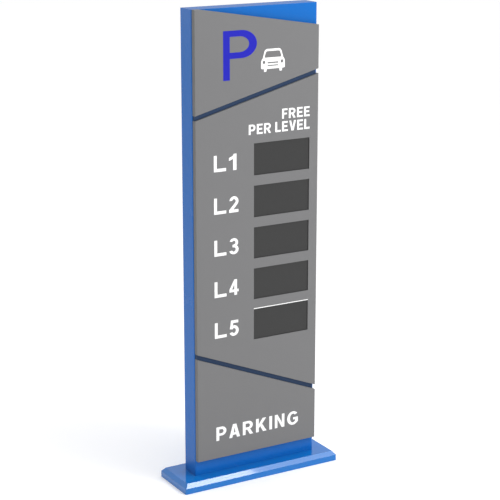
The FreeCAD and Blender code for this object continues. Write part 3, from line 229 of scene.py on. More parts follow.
def mouldedPlastic(name, look):
    plastic = Finish(name)
    spark = plastic.noise(look["grainScale"], 2, 0.6)
    flow = plastic.noise(look["flowScale"], 3)
    dark, light = look["shades"]
    tone = plastic.blend(flow, shade(look["colour"], dark), shade(look["colour"], light))
    fleck = (spark > look["fleckFrom"]) * look["fleckMix"]
    tone = plastic.blend(fleck, tone, shade(look["colour"], look["fleck"]))
    return plastic.surface(Base_Color=tone, Roughness=look["roughness"] + (flow - 0.5) * look["flowGloss"],
                           Specular_IOR_Level=look["specular"], Normal=plastic.bump(spark, look["relief"]))


def openFoam(name, look):
    foam = Finish(name)
    wall = foam.cells(look["cellScale"], "Distance", "DISTANCE_TO_EDGE")
    pore = foam.cells(look["cellScale"] * look["poreTimes"], "Distance")
    deep = (wall < look["wall"]) * look["wallMix"]
    tone = foam.blend(deep, look["colour"], shade(look["colour"], look["wallGain"]))
    return foam.surface(Base_Color=tone, Roughness=look["roughness"] + (pore - 0.4) * 0.1,
                        Normal=foam.bump(pore - deep * 0.4, look["relief"]))


def circuitBoard(name, look):
    board = Finish(name)
    x, y, z = board.axes()
    across, up = x / look["cell"], z / look["cell"]
    column, row = board.single("FLOOR", across), board.single("FLOOR", up)
    cellSpot = board.node("CombineXYZ", None, {"X": column, "Y": row})
    chance = board.node("TexWhiteNoise", {"noise_dimensions": "2D"}, {"Vector": cellSpot}, "Value")
    sideways = board.single("ABSOLUTE", board.single("FRACT", across) - 0.5)
    upright = board.single("ABSOLUTE", board.single("FRACT", up) - 0.5)
    flatRun = (upright < look["track"]) * (chance < look["flatShare"])
    tallRun = (sideways < look["track"]) * (chance > 1 - look["tallShare"])
    crossed = (chance > 1 - look["crossShare"]) * 0.5
    track = board.single("CEIL", flatRun + tallRun + crossed) > 0.9
    reach = board.single("SQRT", sideways * sideways + upright * upright)
    pad = (reach < look["pad"]) * (chance > 1 - look["padShare"])
    weave = board.noise(look["weaveScale"], 1)
    dark, light = look["shades"]
    tone = board.blend(weave, shade(look["colour"], dark), shade(look["colour"], light))
    tone = board.blend(track * look["trackMix"], tone, look["copper"])
    tone = board.blend(pad, tone, look["tin"])
    return board.surface(Base_Color=tone, Metallic=pad * 0.9,
                         Roughness=look["roughness"] + weave * 0.12 - pad * 0.08,
                         Normal=board.bump(track * 0.6 + pad + weave * 0.1, look["relief"]))


def punchedCase(name, look):
    case = Finish(name)
    x, y, z = case.axes()
    row = case.single("FLOOR", z / look["pitch"])
    offset = case.single("FRACT", row * 0.5)  # every other row is half a pitch along
    across = case.single("ABSOLUTE", case.single("FRACT", x / look["pitch"] + offset) - 0.5)
    up = case.single("ABSOLUTE", case.single("FRACT", z / look["pitch"]) - 0.5)
    # the holes are not cut: each is painted near-black, painted shade for the unlit inside of the case
    hole = case.single("SQRT", across * across + up * up) < look["hole"]
    grain = case.noise(1, 3, 0.6, case.stretched(look["grainScale"]))
    dark, light = look["shades"]
    tone = case.blend(grain, shade(look["colour"], dark), shade(look["colour"], light))
    tone = case.blend(hole, tone, look["inside"])
    return case.surface(Base_Color=tone, Metallic=look["metallic"] - hole * look["metallic"],
                        Roughness=look["roughness"] + grain * 0.15 + hole * 0.4,
                        Normal=case.bump(1 - hole + grain * 0.05, look["relief"]))


def smokedAcrylic(name, look):
    pane = Finish(name)
    haze = pane.noise(look["hazeScale"], 4, 0.6)
    dust = pane.noise(look["dustScale"], 1, 0.5)
    dark, light = look["shades"]
    tone = pane.blend(haze, shade(look["colour"], dark), shade(look["colour"], light))
    tone = pane.blend((dust > look["dustFrom"]) * look["dustMix"], tone, look["dust"])
    return pane.surface(Base_Color=tone, Roughness=look["roughness"] + (haze - 0.5) * look["hazeGloss"],
                        Specular_IOR_Level=look["specular"], Normal=pane.bump(haze, look["relief"]))


coatLook = {"speckScale": 1500, "speckFrom": 0.62, "speckGain": 1.6, "sandTimes": 4}
panelLook = {**coatLook, "colour": tint(116, 116, 117), "drift": 0.012, "driftScale": 3, "speck": 0.10,
             "smudge": 0.12, "smudgeScale": 6, "roughness": 0.52, "coat": 0.0, "coatRoughness": 0.3,
             "specular": 0.3, "peelScale": 620, "peel": 0.00012, "sand": 0.5}
cabinetLook = {**coatLook, "colour": tint(8, 104, 190), "drift": 0.02, "driftScale": 2.5, "speck": 0.03,
               "smudge": 0.1, "smudgeScale": 5, "roughness": 0.26, "coat": 0.03, "coatRoughness": 0.1,
               "specular": 0.2, "peelScale": 210, "peel": 0.00016, "sand": 0.15}
plinthLook = {**cabinetLook, "colour": tint(2, 112, 194), "roughness": 0.16, "coat": 0.8, "coatRoughness": 0.05,
              "specular": 0.1, "peelScale": 120, "peel": 0.00012, "sand": 0.05, "smudgeScale": 9}
metalLook = {"metallic": 1.0, "stainShades": (0.88, 1.06), "scratchFrom": 0.6, "scratchMix": 0.25,
             "scratchShade": 0.7, "grainGloss": 0.22, "stainGloss": 0.12}
foamLook = {"roughness": 0.9, "poreTimes": 2.3, "wall": 0.12, "wallMix": 0.6}
plasticLook = {"shades": (0.93, 1.07), "fleckFrom": 0.66, "fleckMix": 0.2, "flowGloss": 0.14, "relief": 0.00005}

finishes = {
    "panel_grey": powderCoat("panelGrey", panelLook),
    "cabinet_blue": powderCoat("cabinetBlue", cabinetLook),
    "plinth_blue": powderCoat("plinthBlue", plinthLook),
    "galvanised_steel": galvanisedSteel("galvanisedSteel", {
        "colour": tint(186, 190, 194), "shades": (0.72, 1.18), "bloom": tint(214, 216, 216), "bloomFrom": 0.6,
        "bloomMix": 0.25, "bloomScale": 14, "flakeScale": 95, "smallTimes": 2.7, "smallShare": 0.35,
        "grainScale": 900, "metallic": 0.85, "roughness": 0.28, "gloss": 0.25, "flakeRelief": 0.4,
        "grainRelief": 0.6, "relief": 0.00006}),
    "zinc_fixings": plainMetal("zincFixings", {
        **metalLook, "colour": tint(206, 208, 204), "grainScale": (700, 700, 700), "stainScale": 60,
        "roughness": 0.3, "relief": 0.00004}),
    "hinge_steel": plainMetal("hingeSteel", {
        **metalLook, "colour": tint(196, 198, 200), "grainScale": (1600, 1600, 60), "stainScale": 30,
        "roughness": 0.3, "relief": 0.00004}),
    "brass_stud": plainMetal("brassStud", {
        **metalLook, "colour": tint(214, 176, 92), "grainScale": (300, 300, 1800), "stainScale": 70,
        "roughness": 0.26, "relief": 0.00003}),
    "lock_chrome": plainMetal("lockChrome", {
        **metalLook, "colour": tint(224, 226, 228), "grainScale": (500, 500, 500), "stainScale": 80,
        "roughness": 0.12, "relief": 0.00001}),
    "guard_wire": plainMetal("guardWire", {
        **metalLook, "colour": tint(210, 212, 214), "grainScale": (900, 900, 900), "stainScale": 50,
        "roughness": 0.22, "relief": 0.00002}),
    "black_foam": openFoam("blackFoam", {
        **foamLook, "colour": tint(34, 34, 35), "cellScale": 900, "wallGain": 1.8, "relief": 0.0004}),
    "filter_foam": openFoam("filterFoam", {
        **foamLook, "colour": tint(52, 54, 56), "cellScale": 520, "wallGain": 2.2, "relief": 0.0012}),
    "board_green": circuitBoard("boardGreen", {
        "colour": tint(18, 92, 48), "shades": (0.85, 1.1), "copper": tint(48, 140, 74),
        "tin": tint(206, 208, 204), "cell": 0.0035, "track": 0.12, "trackMix": 0.55, "flatShare": 0.45,
        "tallShare": 0.45, "crossShare": 0.07, "pad": 0.3, "padShare": 0.22, "weaveScale": 1400,
        "roughness": 0.32, "relief": 0.00008}),
    # its inside colour is painted shade, seen through each painted hole
    "supply_case": punchedCase("supplyCase", {
        "colour": tint(200, 202, 204), "shades": (0.85, 1.05), "inside": tint(22, 22, 24), "pitch": 0.0055,
        "hole": 0.28, "grainScale": (40, 40, 900), "metallic": 0.85, "roughness": 0.32, "relief": 0.0004}),
    "smoked_pane": smokedAcrylic("smokedPane", {
        "colour": tint(53, 53, 53), "shades": (0.97, 1.03), "dust": tint(120, 120, 120), "dustFrom": 0.72,
        "dustMix": 0.1, "dustScale": 2400, "hazeScale": 8, "hazeGloss": 0.1, "roughness": 0.4, "specular": 0.25,
        "relief": 0.00002}),
}

plastics = {  # screen colour, roughness, specular, grain scale
    "black_rubber": ((30, 30, 31), 0.66, 0.3, 1100),
    "black_cable": ((24, 24, 25), 0.42, 0.45, 900),
    "black_plastic": ((32, 33, 35), 0.4, 0.45, 1300),
    "duct_grey": ((168, 172, 176), 0.5, 0.4, 1200),
    "device_grey": ((214, 216, 214), 0.38, 0.45, 1500),
    "button_yellow": ((236, 190, 30), 0.35, 0.5, 1500),
    "terminal_beige": ((206, 196, 168), 0.45, 0.4, 1400),
    "gland_grey": ((150, 154, 158), 0.42, 0.45, 1100),
    "digit_black": ((20, 20, 22), 0.5, 0.35, 1300),
}
for slotName, (screen, roughness, specular, grainScale) in plastics.items():
    finishes[slotName] = mouldedPlastic(slotName, {
        **plasticLook, "colour": tint(*screen), "roughness": roughness, "specular": specular,
        "grainScale": grainScale, "flowScale": 18, "fleck": 1.3})

missed = set()
for node in nodes.values():
    for place in node.material_slots:
        slotName = place.material.name.split(".")[0]
        if slotName in finishes:
            place.material = finishes[slotName]
        else:
            missed.add(slotName)
print("finishes made:", len(finishes), "slots without one:", sorted(missed))

floorLook = {"half": 60, "colour": (0.97, 0.97, 0.97), "fibreScale": 60, "fibreShade": 0.985, "roughness": 0.75,
             "specular": 0.2, "glow": 0.14}


def makeFloor(look):
    mesh = bpy.data.meshes.new("floor")
    half = look["half"]
    corners = [(-half, -half, 0), (half, -half, 0), (half, half, 0), (-half, half, 0)]
    mesh.from_pydata(corners, [], [(0, 1, 2, 3)])
    floor = bpy.data.objects.new("floor", mesh)
    bpy.context.collection.objects.link(floor)
    paper = Finish("floorPaper")
    fibre = paper.noise(look["fibreScale"], 3)
    tone = paper.blend(fibre, shade(look["colour"], look["fibreShade"]), look["colour"])
    mesh.materials.append(paper.surface(Base_Color=tone, Roughness=look["roughness"],
                                        Specular_IOR_Level=look["specular"], Emission_Color=(1, 1, 1),
                                        Emission_Strength=look["glow"]))


makeFloor(floorLook)

skyLook = {"horizon": 0.24, "zenith": 1.0, "right": 0.36, "front": 0.05, "least": 0.02, "paper": 1.0}


def makeSky(look):  # brighter overhead and to the front right, dim on the left, and white paper to look at
    sky = Finish("studioSky", bpy.data.worlds, "Generated")
    x, y, z = sky.axes()
    light = sky.node("Math", {"operation": "MAXIMUM"}, {
        0: z * look["zenith"] + x * look["right"] - y * look["front"] + look["horizon"], 1: look["least"]})
    glow = sky.node("Background", None, {"Color": (1, 1, 1), "Strength": light})
    paper = sky.node("Background", None, {"Color": (1, 1, 1), "Strength": look["paper"]})
    seen = sky.node("LightPath", output="Is Camera Ray")  # the paper lights nothing
    sky.node("OutputWorld", None, {"Surface": sky.node("MixShader", None, {0: seen, 1: glow, 2: paper})})
    bpy.context.scene.world = sky.material


makeSky(skyLook)
print("floor and sky made")


def meshPiece(name, mesh, body, slotName, material=None):
    piece = bpy.data.objects.new(name, mesh)
    bpy.context.collection.objects.link(piece)
    mesh.materials.clear()
    mesh.materials.append(material or finishes[slotName])
    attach(piece, body)
    return piece


def finishMesh(name, mesh, body, slotName, material=None, smooth=None):
    bmesh.ops.recalc_face_normals(mesh, faces=mesh.faces)
    data = bpy.data.meshes.new(name)
    mesh.to_mesh(data)
    mesh.free()
    if smooth:
        data.shade_smooth()
        data.set_sharp_from_angle(angle=math.radians(smooth))
    return meshPiece(name, data, body, slotName, material)


def curveMesh(curve, matrix):  # the filled shape of a curve or text, set in place as a plain mesh
    helper = bpy.data.objects.new("helper", curve)
    bpy.context.collection.objects.link(helper)
    bpy.context.view_layer.update()
    view = bpy.context.evaluated_depsgraph_get()
    mesh = bpy.data.meshes.new_from_object(helper.evaluated_get(view))
    mesh.transform(matrix)
    bpy.data.objects.remove(helper)
    return mesh


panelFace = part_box("top_panel")[0].y
filmLook = {"thickness": 0.35 * mm, "sink": 0.05 * mm, "white": tint(252, 252, 252), "blue": tint(8, 10, 176),
            "grainScale": 1800, "driftScale": 12, "shade": 0.965, "roughness": 0.42, "specular": 0.3,
            "relief": 0.00003}


def vinylFilm(name, colour, look):
    film = Finish(name)
    grain = film.noise(look["grainScale"], 1)
    tone = film.blend(film.noise(look["driftScale"], 2), shade(colour, look["shade"]), colour)
    return film.surface(Base_Color=tone, Roughness=look["roughness"] + grain * 0.1,
                        Specular_IOR_Level=look["specular"], Normal=film.bump(grain, look["relief"]))


whiteFilm = vinylFilm("whiteFilm", filmLook["white"], filmLook)
blueFilm = vinylFilm("blueFilm", filmLook["blue"], filmLook)
onPanel = Matrix.Translation((0, panelFace + filmLook["sink"] - filmLook["thickness"] / 2, 0)) @ \
    Matrix.Rotation(math.pi / 2, 4, "X")  # drawn in x and z, looking out of the panel


def filledShape(name, outlines, material):  # outlines in x and z; one inside another is a hole
    curve = bpy.data.curves.new(name, "CURVE")
    curve.dimensions = "2D"
    curve.fill_mode = "BOTH"
    curve.extrude = filmLook["thickness"] / 2
    for outline in outlines:
        spline = curve.splines.new("POLY")
        spline.points.add(len(outline) - 1)
        for point, (x, z) in zip(spline.points, outline):
            point.co = (x, z, 0, 1)
        spline.use_cyclic_u = True
    return meshPiece(name, curveMesh(curve, onPanel), "cabinet", "panel_grey", material)


def arc(cx, cz, rx, rz, start, end, steps=24):
    turns = [math.radians(start + (end - start) * step / steps) for step in range(steps + 1)]
    return [(cx + rx * math.cos(turn), cz + rz * math.sin(turn)) for turn in turns]


def softRect(left, right, foot, head, radius, steps=6):
    corners = ((right - radius, head - radius, 0), (left + radius, head - radius, 90),
               (left + radius, foot + radius, 180), (right - radius, foot + radius, 270))
    return [point for x, z, start in corners for point in arc(x, z, radius, radius, start, start + 90, steps)]


stroke = 0.2  # every letter is drawn one high, with a stem this wide
letterShapes = {
    "L": [[(0, 0), (0.58, 0), (0.58, 0.19), (stroke, 0.19), (stroke, 1), (0, 1)]],
    "wideL": [[(0, 0), (0.84, 0), (0.84, 0.19), (stroke, 0.19), (stroke, 1), (0, 1)]],
    "E": [[(0, 0), (0.62, 0), (0.62, 0.18), (stroke, 0.18), (stroke, 0.41), (0.56, 0.41), (0.56, 0.59),
           (stroke, 0.59), (stroke, 0.82), (0.6, 0.82), (0.6, 1), (0, 1)]],
    "F": [[(0, 0), (stroke, 0), (stroke, 0.4), (0.52, 0.4), (0.52, 0.58), (stroke, 0.58), (stroke, 0.82),
           (0.58, 0.82), (0.58, 1), (0, 1)]],
    "V": [[(0.25, 0), (0.47, 0), (0.72, 1), (0.51, 1), (0.36, 0.3), (0.21, 1), (0, 1)]],
    "A": [[(0, 0), (0.21, 0), (0.27, 0.2), (0.49, 0.2), (0.55, 0), (0.76, 0), (0.5, 1), (0.26, 1)],
          [(0.32, 0.37), (0.44, 0.37), (0.38, 0.74)]],
    "K": [[(0, 0), (stroke, 0), (stroke, 0.29), (0.3, 0.42), (0.5, 0), (0.76, 0), (0.44, 0.57), (0.73, 1),
           (0.48, 1), (stroke, 0.57), (stroke, 1), (0, 1)]],
    "I": [[(0, 0), (stroke, 0), (stroke, 1), (0, 1)]],
    "N": [[(0, 0), (0.19, 0), (0.19, 0.66), (0.5, 0), (0.7, 0), (0.7, 1), (0.51, 1), (0.51, 0.36), (stroke, 1),
           (0, 1)]],
    "P": [[(0, 0), (stroke, 0), (stroke, 0.34)] + arc(0.38, 0.67, 0.32, 0.33, -90, 90) + [(0, 1)],
          [(stroke, 0.52)] + arc(0.37, 0.67, 0.13, 0.15, -90, 90) + [(stroke, 0.82)]],
    "R": [[(0, 0), (stroke, 0), (stroke, 0.37), (0.31, 0.37), (0.5, 0), (0.74, 0), (0.51, 0.41)] +
          arc(0.39, 0.69, 0.32, 0.31, -55, 90) + [(0, 1)],
          [(stroke, 0.54)] + arc(0.38, 0.68, 0.13, 0.14, -90, 90) + [(stroke, 0.82)]],
    "G": [arc(0.42, 0.5, 0.42, 0.51, 40, 318) +
          [(0.79, 0.2), (0.79, 0.55), (0.44, 0.55), (0.44, 0.38), (0.59, 0.38), (0.59, 0.27)] +
          arc(0.42, 0.5, 0.21, 0.33, 312, 48)],
    "1": [[(0.31, 0), (0.52, 0), (0.52, 1), (0.36, 1), (0.27, 0.87), (0.06, 0.77), (0.06, 0.59), (0.2, 0.64),
           (0.31, 0.71)]],
    "2": [[(0, 0), (0.66, 0), (0.66, 0.18), (0.3, 0.18)] + arc(0.34, 0.69, 0.32, 0.31, -40, 172) +
          arc(0.34, 0.69, 0.125, 0.135, 165, -38) + [(0, 0.17)]],
    "3": [arc(0.33, 0.72, 0.3, 0.28, 160, -48) + arc(0.33, 0.29, 0.33, 0.3, 40, -162) +
          arc(0.33, 0.29, 0.13, 0.135, -155, 70) + [(0.24, 0.43), (0.24, 0.59)] +
          arc(0.33, 0.72, 0.115, 0.12, -70, 155)],
    "4": [[(0.34, 0), (0.53, 0), (0.53, 0.2), (0.64, 0.2), (0.64, 0.37), (0.53, 0.37), (0.53, 1), (0.34, 1),
           (0, 0.37), (0, 0.2), (0.34, 0.2)], [(0.34, 0.37), (0.18, 0.37), (0.34, 0.69)]],
    "5": [[(0.12, 1), (0.04, 0.45), (0.23, 0.42)] + arc(0.32, 0.33, 0.13, 0.16, 115, -150) +
          arc(0.32, 0.33, 0.33, 0.34, -155, 105) + [(0.27, 0.82), (0.62, 0.82), (0.62, 1)]],
}


wordSpace = 0.3


def wordOutlines(word, left, right, foot, head, gap=0.13):  # a word's outlines, fitted between four lines
    pen, laid = 0, []
    for letter in word:
        if letter == " ":
            pen += wordSpace
            continue
        laid += [[(pen + x, z) for x, z in outline] for outline in letterShapes[letter]]
        pen = max(x for outline in laid for x, z in outline) + gap
    start = min(x for outline in laid for x, z in outline)
    wide = (right - left) / (pen - gap - start)
    return [[(left + (x - start) * wide, foot + z * (head - foot)) for x, z in outline] for outline in laid]


letterP = {"left": -0.1655, "stem": 0.031, "foot": 1.7645, "head": 1.9677, "right": -0.006, "bowlFoot": 1.8527,
           "bar": 0.025, "side": 0.037, "outerRound": 0.074, "innerRound": 0.046}


def makeLetterP(look):
    stemRight = look["left"] + look["stem"]
    middle = (look["head"] + look["bowlFoot"]) / 2
    outer = (look["head"] - look["bowlFoot"]) / 2
    inner = outer - look["bar"]
    outerTurn = look["right"] - look["outerRound"]
    innerTurn = look["right"] - look["side"] - look["innerRound"]
    outline = [(look["left"], look["foot"]), (stemRight, look["foot"]), (stemRight, look["bowlFoot"])]
    outline += arc(outerTurn, middle, look["outerRound"], outer, -90, 90)
    outline += [(look["left"], look["head"])]
    hole = [(stemRight, middle - inner)] + arc(innerTurn, middle, look["innerRound"], inner, -90, 90) + \
        [(stemRight, middle + inner)]
    filledShape("letterP", [outline, hole], blueFilm)


carSign = {
    "middle": 0.0718, "half": 0.0575, "foot": 1.7875, "head": 1.8820,
    "body": [(0.52, 0.12), (0.54, 0.10), (0.55, 0.02), (0.58, 0.00), (0.74, 0.00), (0.76, 0.02), (0.76, 0.12),
             (0.96, 0.13), (1.00, 0.17), (1.00, 0.44), (0.95, 0.54), (0.86, 0.60), (0.72, 0.90), (0.62, 0.97),
             (0.50, 1.00)],
    "glass": [(0.66, 0.62), (0.70, 0.66), (0.60, 0.86), (0.52, 0.90)],
    "lamp": (0.76, 0.42, 0.11, 0.075), "grille": (0.36, 0.42), "slit": (0.24, 0.29), "slotHalf": 0.46,
    "slotRound": 1.2 * mm,
}


def makeCarSign(look):  # a car from the front; the lists above are its right half, in shares of its size
    middle, half, foot = look["middle"], look["half"], look["foot"]
    tall = look["head"] - foot

    def mirrored(outline):
        right = [(middle + half * x, foot + tall * z) for x, z in outline]
        return right + [(2 * middle - x, z) for x, z in reversed(right)]

    out, up, wide, high = look["lamp"]
    lamps = [arc(middle + side * half * out, foot + tall * up, half * wide, tall * high, 0, 345, 23)
             for side in (-1, 1)]
    reach = half * look["slotHalf"]
    slots = [softRect(middle - reach, middle + reach, foot + tall * low, foot + tall * high, look["slotRound"])
             for low, high in (look["grille"], look["slit"])]
    filledShape("carSign", [mirrored(look["body"]), mirrored(look["glass"]), *lamps, *slots], whiteFilm)


makeLetterP(letterP)
makeCarSign(carSign)
headings = {  # words, left, right, foot, head and letter gap
    "headingFree": ("FREE", 0.1175, 0.2550, 1.5825, 1.6252, 0.14),
    "headingPerLevel": ("PER LEVEL", -0.0450, 0.2550, 1.5282, 1.5714, 0.14),
    "greeting": ("PARKING", -0.2075, 0.2085, 0.1950, 0.2575, 0.2),
}
for name, (words, left, right, foot, head, gap) in headings.items():
    filledShape(name, wordOutlines(words, left, right, foot, head, gap), whiteFilm)

labelLook = {"letter": (-0.2120, -0.1540), "number": (-0.1400, -0.0950), "narrow": (-0.1400, -0.1040),
             "capHeight": 0.0693}
for level in range(1, 6):
    low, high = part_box(f"window_pane_{level}")
    foot = (low.z + high.z - labelLook["capHeight"]) / 2
    head = foot + labelLook["capHeight"]
    number = labelLook["narrow" if level == 1 else "number"]
    filledShape(f"levelLabel{level}", wordOutlines(["wideL"], *labelLook["letter"], foot, head) +
                wordOutlines(str(level), *number, foot, head), whiteFilm)

stripeLook = {"overlap": 8 * mm, "width": 3.6 * mm, "round": 0.4 * mm}  # a thin white strip along the top of the fifth window only, set in by the overlap; the pane is larger than its window
low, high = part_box("window_pane_5")
edge = high.z - stripeLook["overlap"]
filledShape("windowTopStripe", [softRect(low.x + stripeLook["overlap"], high.x - stripeLook["overlap"], edge,
                                    edge + stripeLook["width"], stripeLook["round"])], whiteFilm)
print("panel graphics made")

# painted shade: each slanted gap between panels gets a dark navy strip, as dark as the shadow deep in the gap
gapShadeLook = {"left": -0.2965, "right": 0.2880, "half": 9.6 * mm, "thickness": 13 * mm,
           "upper": (1.6180, 1.7725), "lower": (0.5920, 0.3525), "span": 0.2975, "steps": 24,
           "colour": tint(40, 61, 92)}
paintedGapShade = mouldedPlastic("paintedGapShade", {**plasticLook, "colour": gapShadeLook["colour"], "roughness": 0.6,
                                         "specular": 0.25, "grainScale": 900, "flowScale": 9, "fleck": 1.2})


def makeGapLiner(name, look, levels):  # a dark navy strip on the cabinet in a slanted gap between panels, painted shade for the deep shadow in the gap
    slope = (levels[1] - levels[0]) / (2 * look["span"])
    middle = (levels[0] + levels[1]) / 2
    reach = look["half"] * math.sqrt(1 + slope * slope)
    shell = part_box("cabinet_shell")[0].y
    mesh = bmesh.new()
    steps = look["steps"]
    across = [look["left"] + (look["right"] - look["left"]) * step / steps for step in range(steps + 1)]
    rows = []
    for y in (shell - look["thickness"], shell):
        for side in (-1, 1):
            rows.append([mesh.verts.new((x, y, middle + slope * x + side * reach)) for x in across])
    frontLow, frontHigh, backLow, backHigh = rows
    for step in range(steps):
        for under, over in ((frontLow, frontHigh), (frontHigh, backHigh), (backHigh, backLow),
                            (backLow, frontLow)):
            mesh.faces.new((under[step], under[step + 1], over[step + 1], over[step]))
    for end in (0, steps):
        mesh.faces.new([row[end] for row in (frontLow, frontHigh, backHigh, backLow)])
    finishMesh(name, mesh, "cabinet", "black_rubber", paintedGapShade)


# both strips are painted shade in the gaps
makeGapLiner("upperGapShadeStrip", gapShadeLook, gapShadeLook["upper"])
makeGapLiner("lowerGapShadeStrip", gapShadeLook, gapShadeLook["lower"])
print("gap liners made")


def turned(mesh, place, outward, profile, sides=24):  # profile: radius, height and "hex" for a hexagonal ring
    turn = Matrix.Translation(place) @ Vector(outward).to_track_quat("Z", "Y").to_matrix().to_4x4()
    rings = []
    for radius, height, *shape in profile:
        ring = []
        for side in range(sides if radius else 1):
            angle = 2 * math.pi * side / sides
            reach = radius
            if shape:
                reach *= math.cos(math.pi / 6) / math.cos(angle % (math.pi / 3) - math.pi / 6)
            point = Vector((reach * math.cos(angle), reach * math.sin(angle), height))
            ring.append(mesh.verts.new(turn @ point))
        rings.append(ring)
    for low, high in zip(rings, rings[1:]):
        for side in range(sides):
            corners = [low[side % len(low)], low[(side + 1) % len(low)], high[(side + 1) % len(high)],
                       high[side % len(high)]]
            mesh.faces.new(list(dict.fromkeys(corners)))


def socketScrew(mesh, place, outward, radius, height):  # button head with a hexagon socket
    sunk = -0.3 * mm
    turned(mesh, place, outward, [(0, sunk), (radius, sunk), (radius, height * 0.35),
                                  (radius * 0.86, height * 0.78), (radius * 0.62, height),
                                  (radius * 0.5, height, "hex"), (radius * 0.46, height * 0.3, "hex"),
                                  (0, height * 0.3)])


def slotScrew(mesh, place, outward, radius, height):  # flat head with a dished middle
    sunk = -0.2 * mm
    turned(mesh, place, outward, [(0, sunk), (radius, sunk), (radius, height * 0.7), (radius * 0.85, height),
                                  (radius * 0.5, height), (radius * 0.4, height * 0.55), (0, height * 0.5)], 16)


def makeScrews(name, body, kind, places):
    mesh = bmesh.new()
    for place, outward, radius, height in places:
        kind(mesh, Vector(place), outward, radius, height)
    finishMesh(name, mesh, body, "zinc_fixings", smooth=32)


backwards, forwards, upwards = (0, 1, 0), (0, -1, 0), (0, 0, 1)
screwSizes = {  # radius and height of each head
    "hinge": (4 * mm, 2.4 * mm), "guard": (3.3 * mm, 1.8 * mm), "board": (2.8 * mm, 1.9 * mm),
    "plate": (4.6 * mm, 2.6 * mm), "gland": (3 * mm, 1.8 * mm), "terminal": (1.65 * mm, 2.4 * mm),
    "supply": (3.2 * mm, 1.4 * mm), "connector": (1.8 * mm, 0.8 * mm),
}
hingeLook = {"screwInset": 13 * mm, "leafMiddle": 7.5 * mm, "doorMiddle": 14 * mm, "leafThickness": 2 * mm,
             "leafFoot": (0.278, 1.0115, 1.745), "leafHeight": 80 * mm}


def hingeScrews(look, x, y):
    return [((x, y, foot + at), backwards, *screwSizes["hinge"]) for foot in look["leafFoot"]
            for at in (look["screwInset"], look["leafHeight"] - look["screwInset"])]


def cornerScrews(low, high, face, inset, size):  # one screw near each corner of an upright sheet
    return [((x, face, z), backwards, *size) for x in (low.x + inset, high.x - inset)
            for z in (low.z + inset, high.z - inset)]


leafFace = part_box("rear_door")[1].y + hingeLook["leafThickness"]
makeScrews("frameLeafScrews", "cabinet", socketScrew,
           hingeScrews(hingeLook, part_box("hinge_frame_leaves")[1].x - hingeLook["leafMiddle"], leafFace))
makeScrews("doorLeafScrews", "door", socketScrew,
           hingeScrews(hingeLook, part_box("hinge_door_leaves")[0].x + hingeLook["doorMiddle"], leafFace))

fanScrew = 35.5 * mm  # from the fan's middle, across and up
fanMiddle = sum(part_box("fan_frame"), Vector()) / 2
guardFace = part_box("fan_guard")[0].y
makeScrews("guardScrews", "door", socketScrew,
           [((fanMiddle.x + side * fanScrew, guardFace, fanMiddle.z + end * fanScrew), forwards,
             *screwSizes["guard"]) for side in (-1, 1) for end in (-1, 1)])

boardLook = {"thickness": 1.6 * mm, "displayInset": 3.5 * mm, "controllerInset": 4 * mm, "plateInset": 14 * mm,
             "glandScrew": (39 * mm, 22 * mm)}
boardScrews = []
boardFaces = {}
for level in range(1, 6):
    low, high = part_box(f"display_board_{level}")
    boardFaces[level] = low.y + boardLook["thickness"]
    boardScrews += cornerScrews(low, high, boardFaces[level], boardLook["displayInset"], screwSizes["board"])
low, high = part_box("equipment_plate")
boardScrews += cornerScrews(low, high, high.y, boardLook["plateInset"], screwSizes["plate"])
controllerLow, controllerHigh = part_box("controller_board")
controllerFace = controllerLow.y + boardLook["thickness"]
boardScrews += cornerScrews(controllerLow, controllerHigh, controllerFace, boardLook["controllerInset"],
                            screwSizes["board"])
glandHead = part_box("gland_plate")[1].z
across, along = boardLook["glandScrew"]
boardScrews += [((side * across, end * along, glandHead), upwards, *screwSizes["gland"])
                for side in (-1, 1) for end in (-1, 1)]
makeScrews("cabinetScrews", "cabinet", socketScrew, boardScrews)

# each row of clamp screws: first place from the corner of its block, pitch and count
clampLook = {
    "terminal": {"start": (3 * mm, -4 * mm), "pitch": 6.2 * mm, "count": 12, "offRail": 16 * mm},
    "supply": {"start": (14 * mm, 18 * mm, 7 * mm), "pitch": 12 * mm, "count": 7},
    "connector": {"starts": (13 * mm, 85 * mm), "out": 11 * mm, "up": 13 * mm, "pitch": 10 * mm, "count": 6},
}


def clampScrews():
    look = clampLook["terminal"]
    low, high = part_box("terminal_blocks")
    railMiddle = sum(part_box("din_rail"), Vector()).z / 2
    screws = [((low.x + look["start"][0] + step * look["pitch"], high.y + look["start"][1],
                railMiddle + side * look["offRail"]), backwards, *screwSizes["terminal"])
              for step in range(look["count"]) for side in (-1, 1)]
    look = clampLook["supply"]
    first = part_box("power_supply")[0] + Vector(look["start"])
    screws += [((first.x + step * look["pitch"], first.y, first.z), backwards, *screwSizes["supply"])
               for step in range(look["count"])]
    look = clampLook["connector"]
    screws += [((controllerLow.x + start + step * look["pitch"], controllerFace + look["out"],
                 controllerLow.z + look["up"]), backwards, *screwSizes["connector"])
               for start in look["starts"] for step in range(look["count"])]
    return screws


makeScrews("terminalScrews", "cabinet", slotScrew, clampScrews())
print("screws made")


def softBlock(mesh, low, high, bevel):  # a block with broken edges, added to a mesh
    corners = [mesh.verts.new((x, y, z)) for x in (low[0], high[0]) for y in (low[1], high[1])
               for z in (low[2], high[2])]
    sides = ((0, 1, 3, 2), (4, 6, 7, 5), (0, 4, 5, 1), (2, 3, 7, 6), (0, 2, 6, 4), (1, 5, 7, 3))
    faces = [mesh.faces.new([corners[index] for index in side]) for side in sides]
    edges = list({edge for face in faces for edge in face.edges})
    bmesh.ops.bevel(mesh, geom=edges, offset=bevel, segments=1, affect="EDGES")


chipLook = {"legPitch": 2.54 * mm, "legWide": 0.7 * mm, "legReach": 2.2 * mm, "legHigh": 1.1 * mm,
            "legThick": 0.3 * mm, "legBevel": 0.06 * mm}


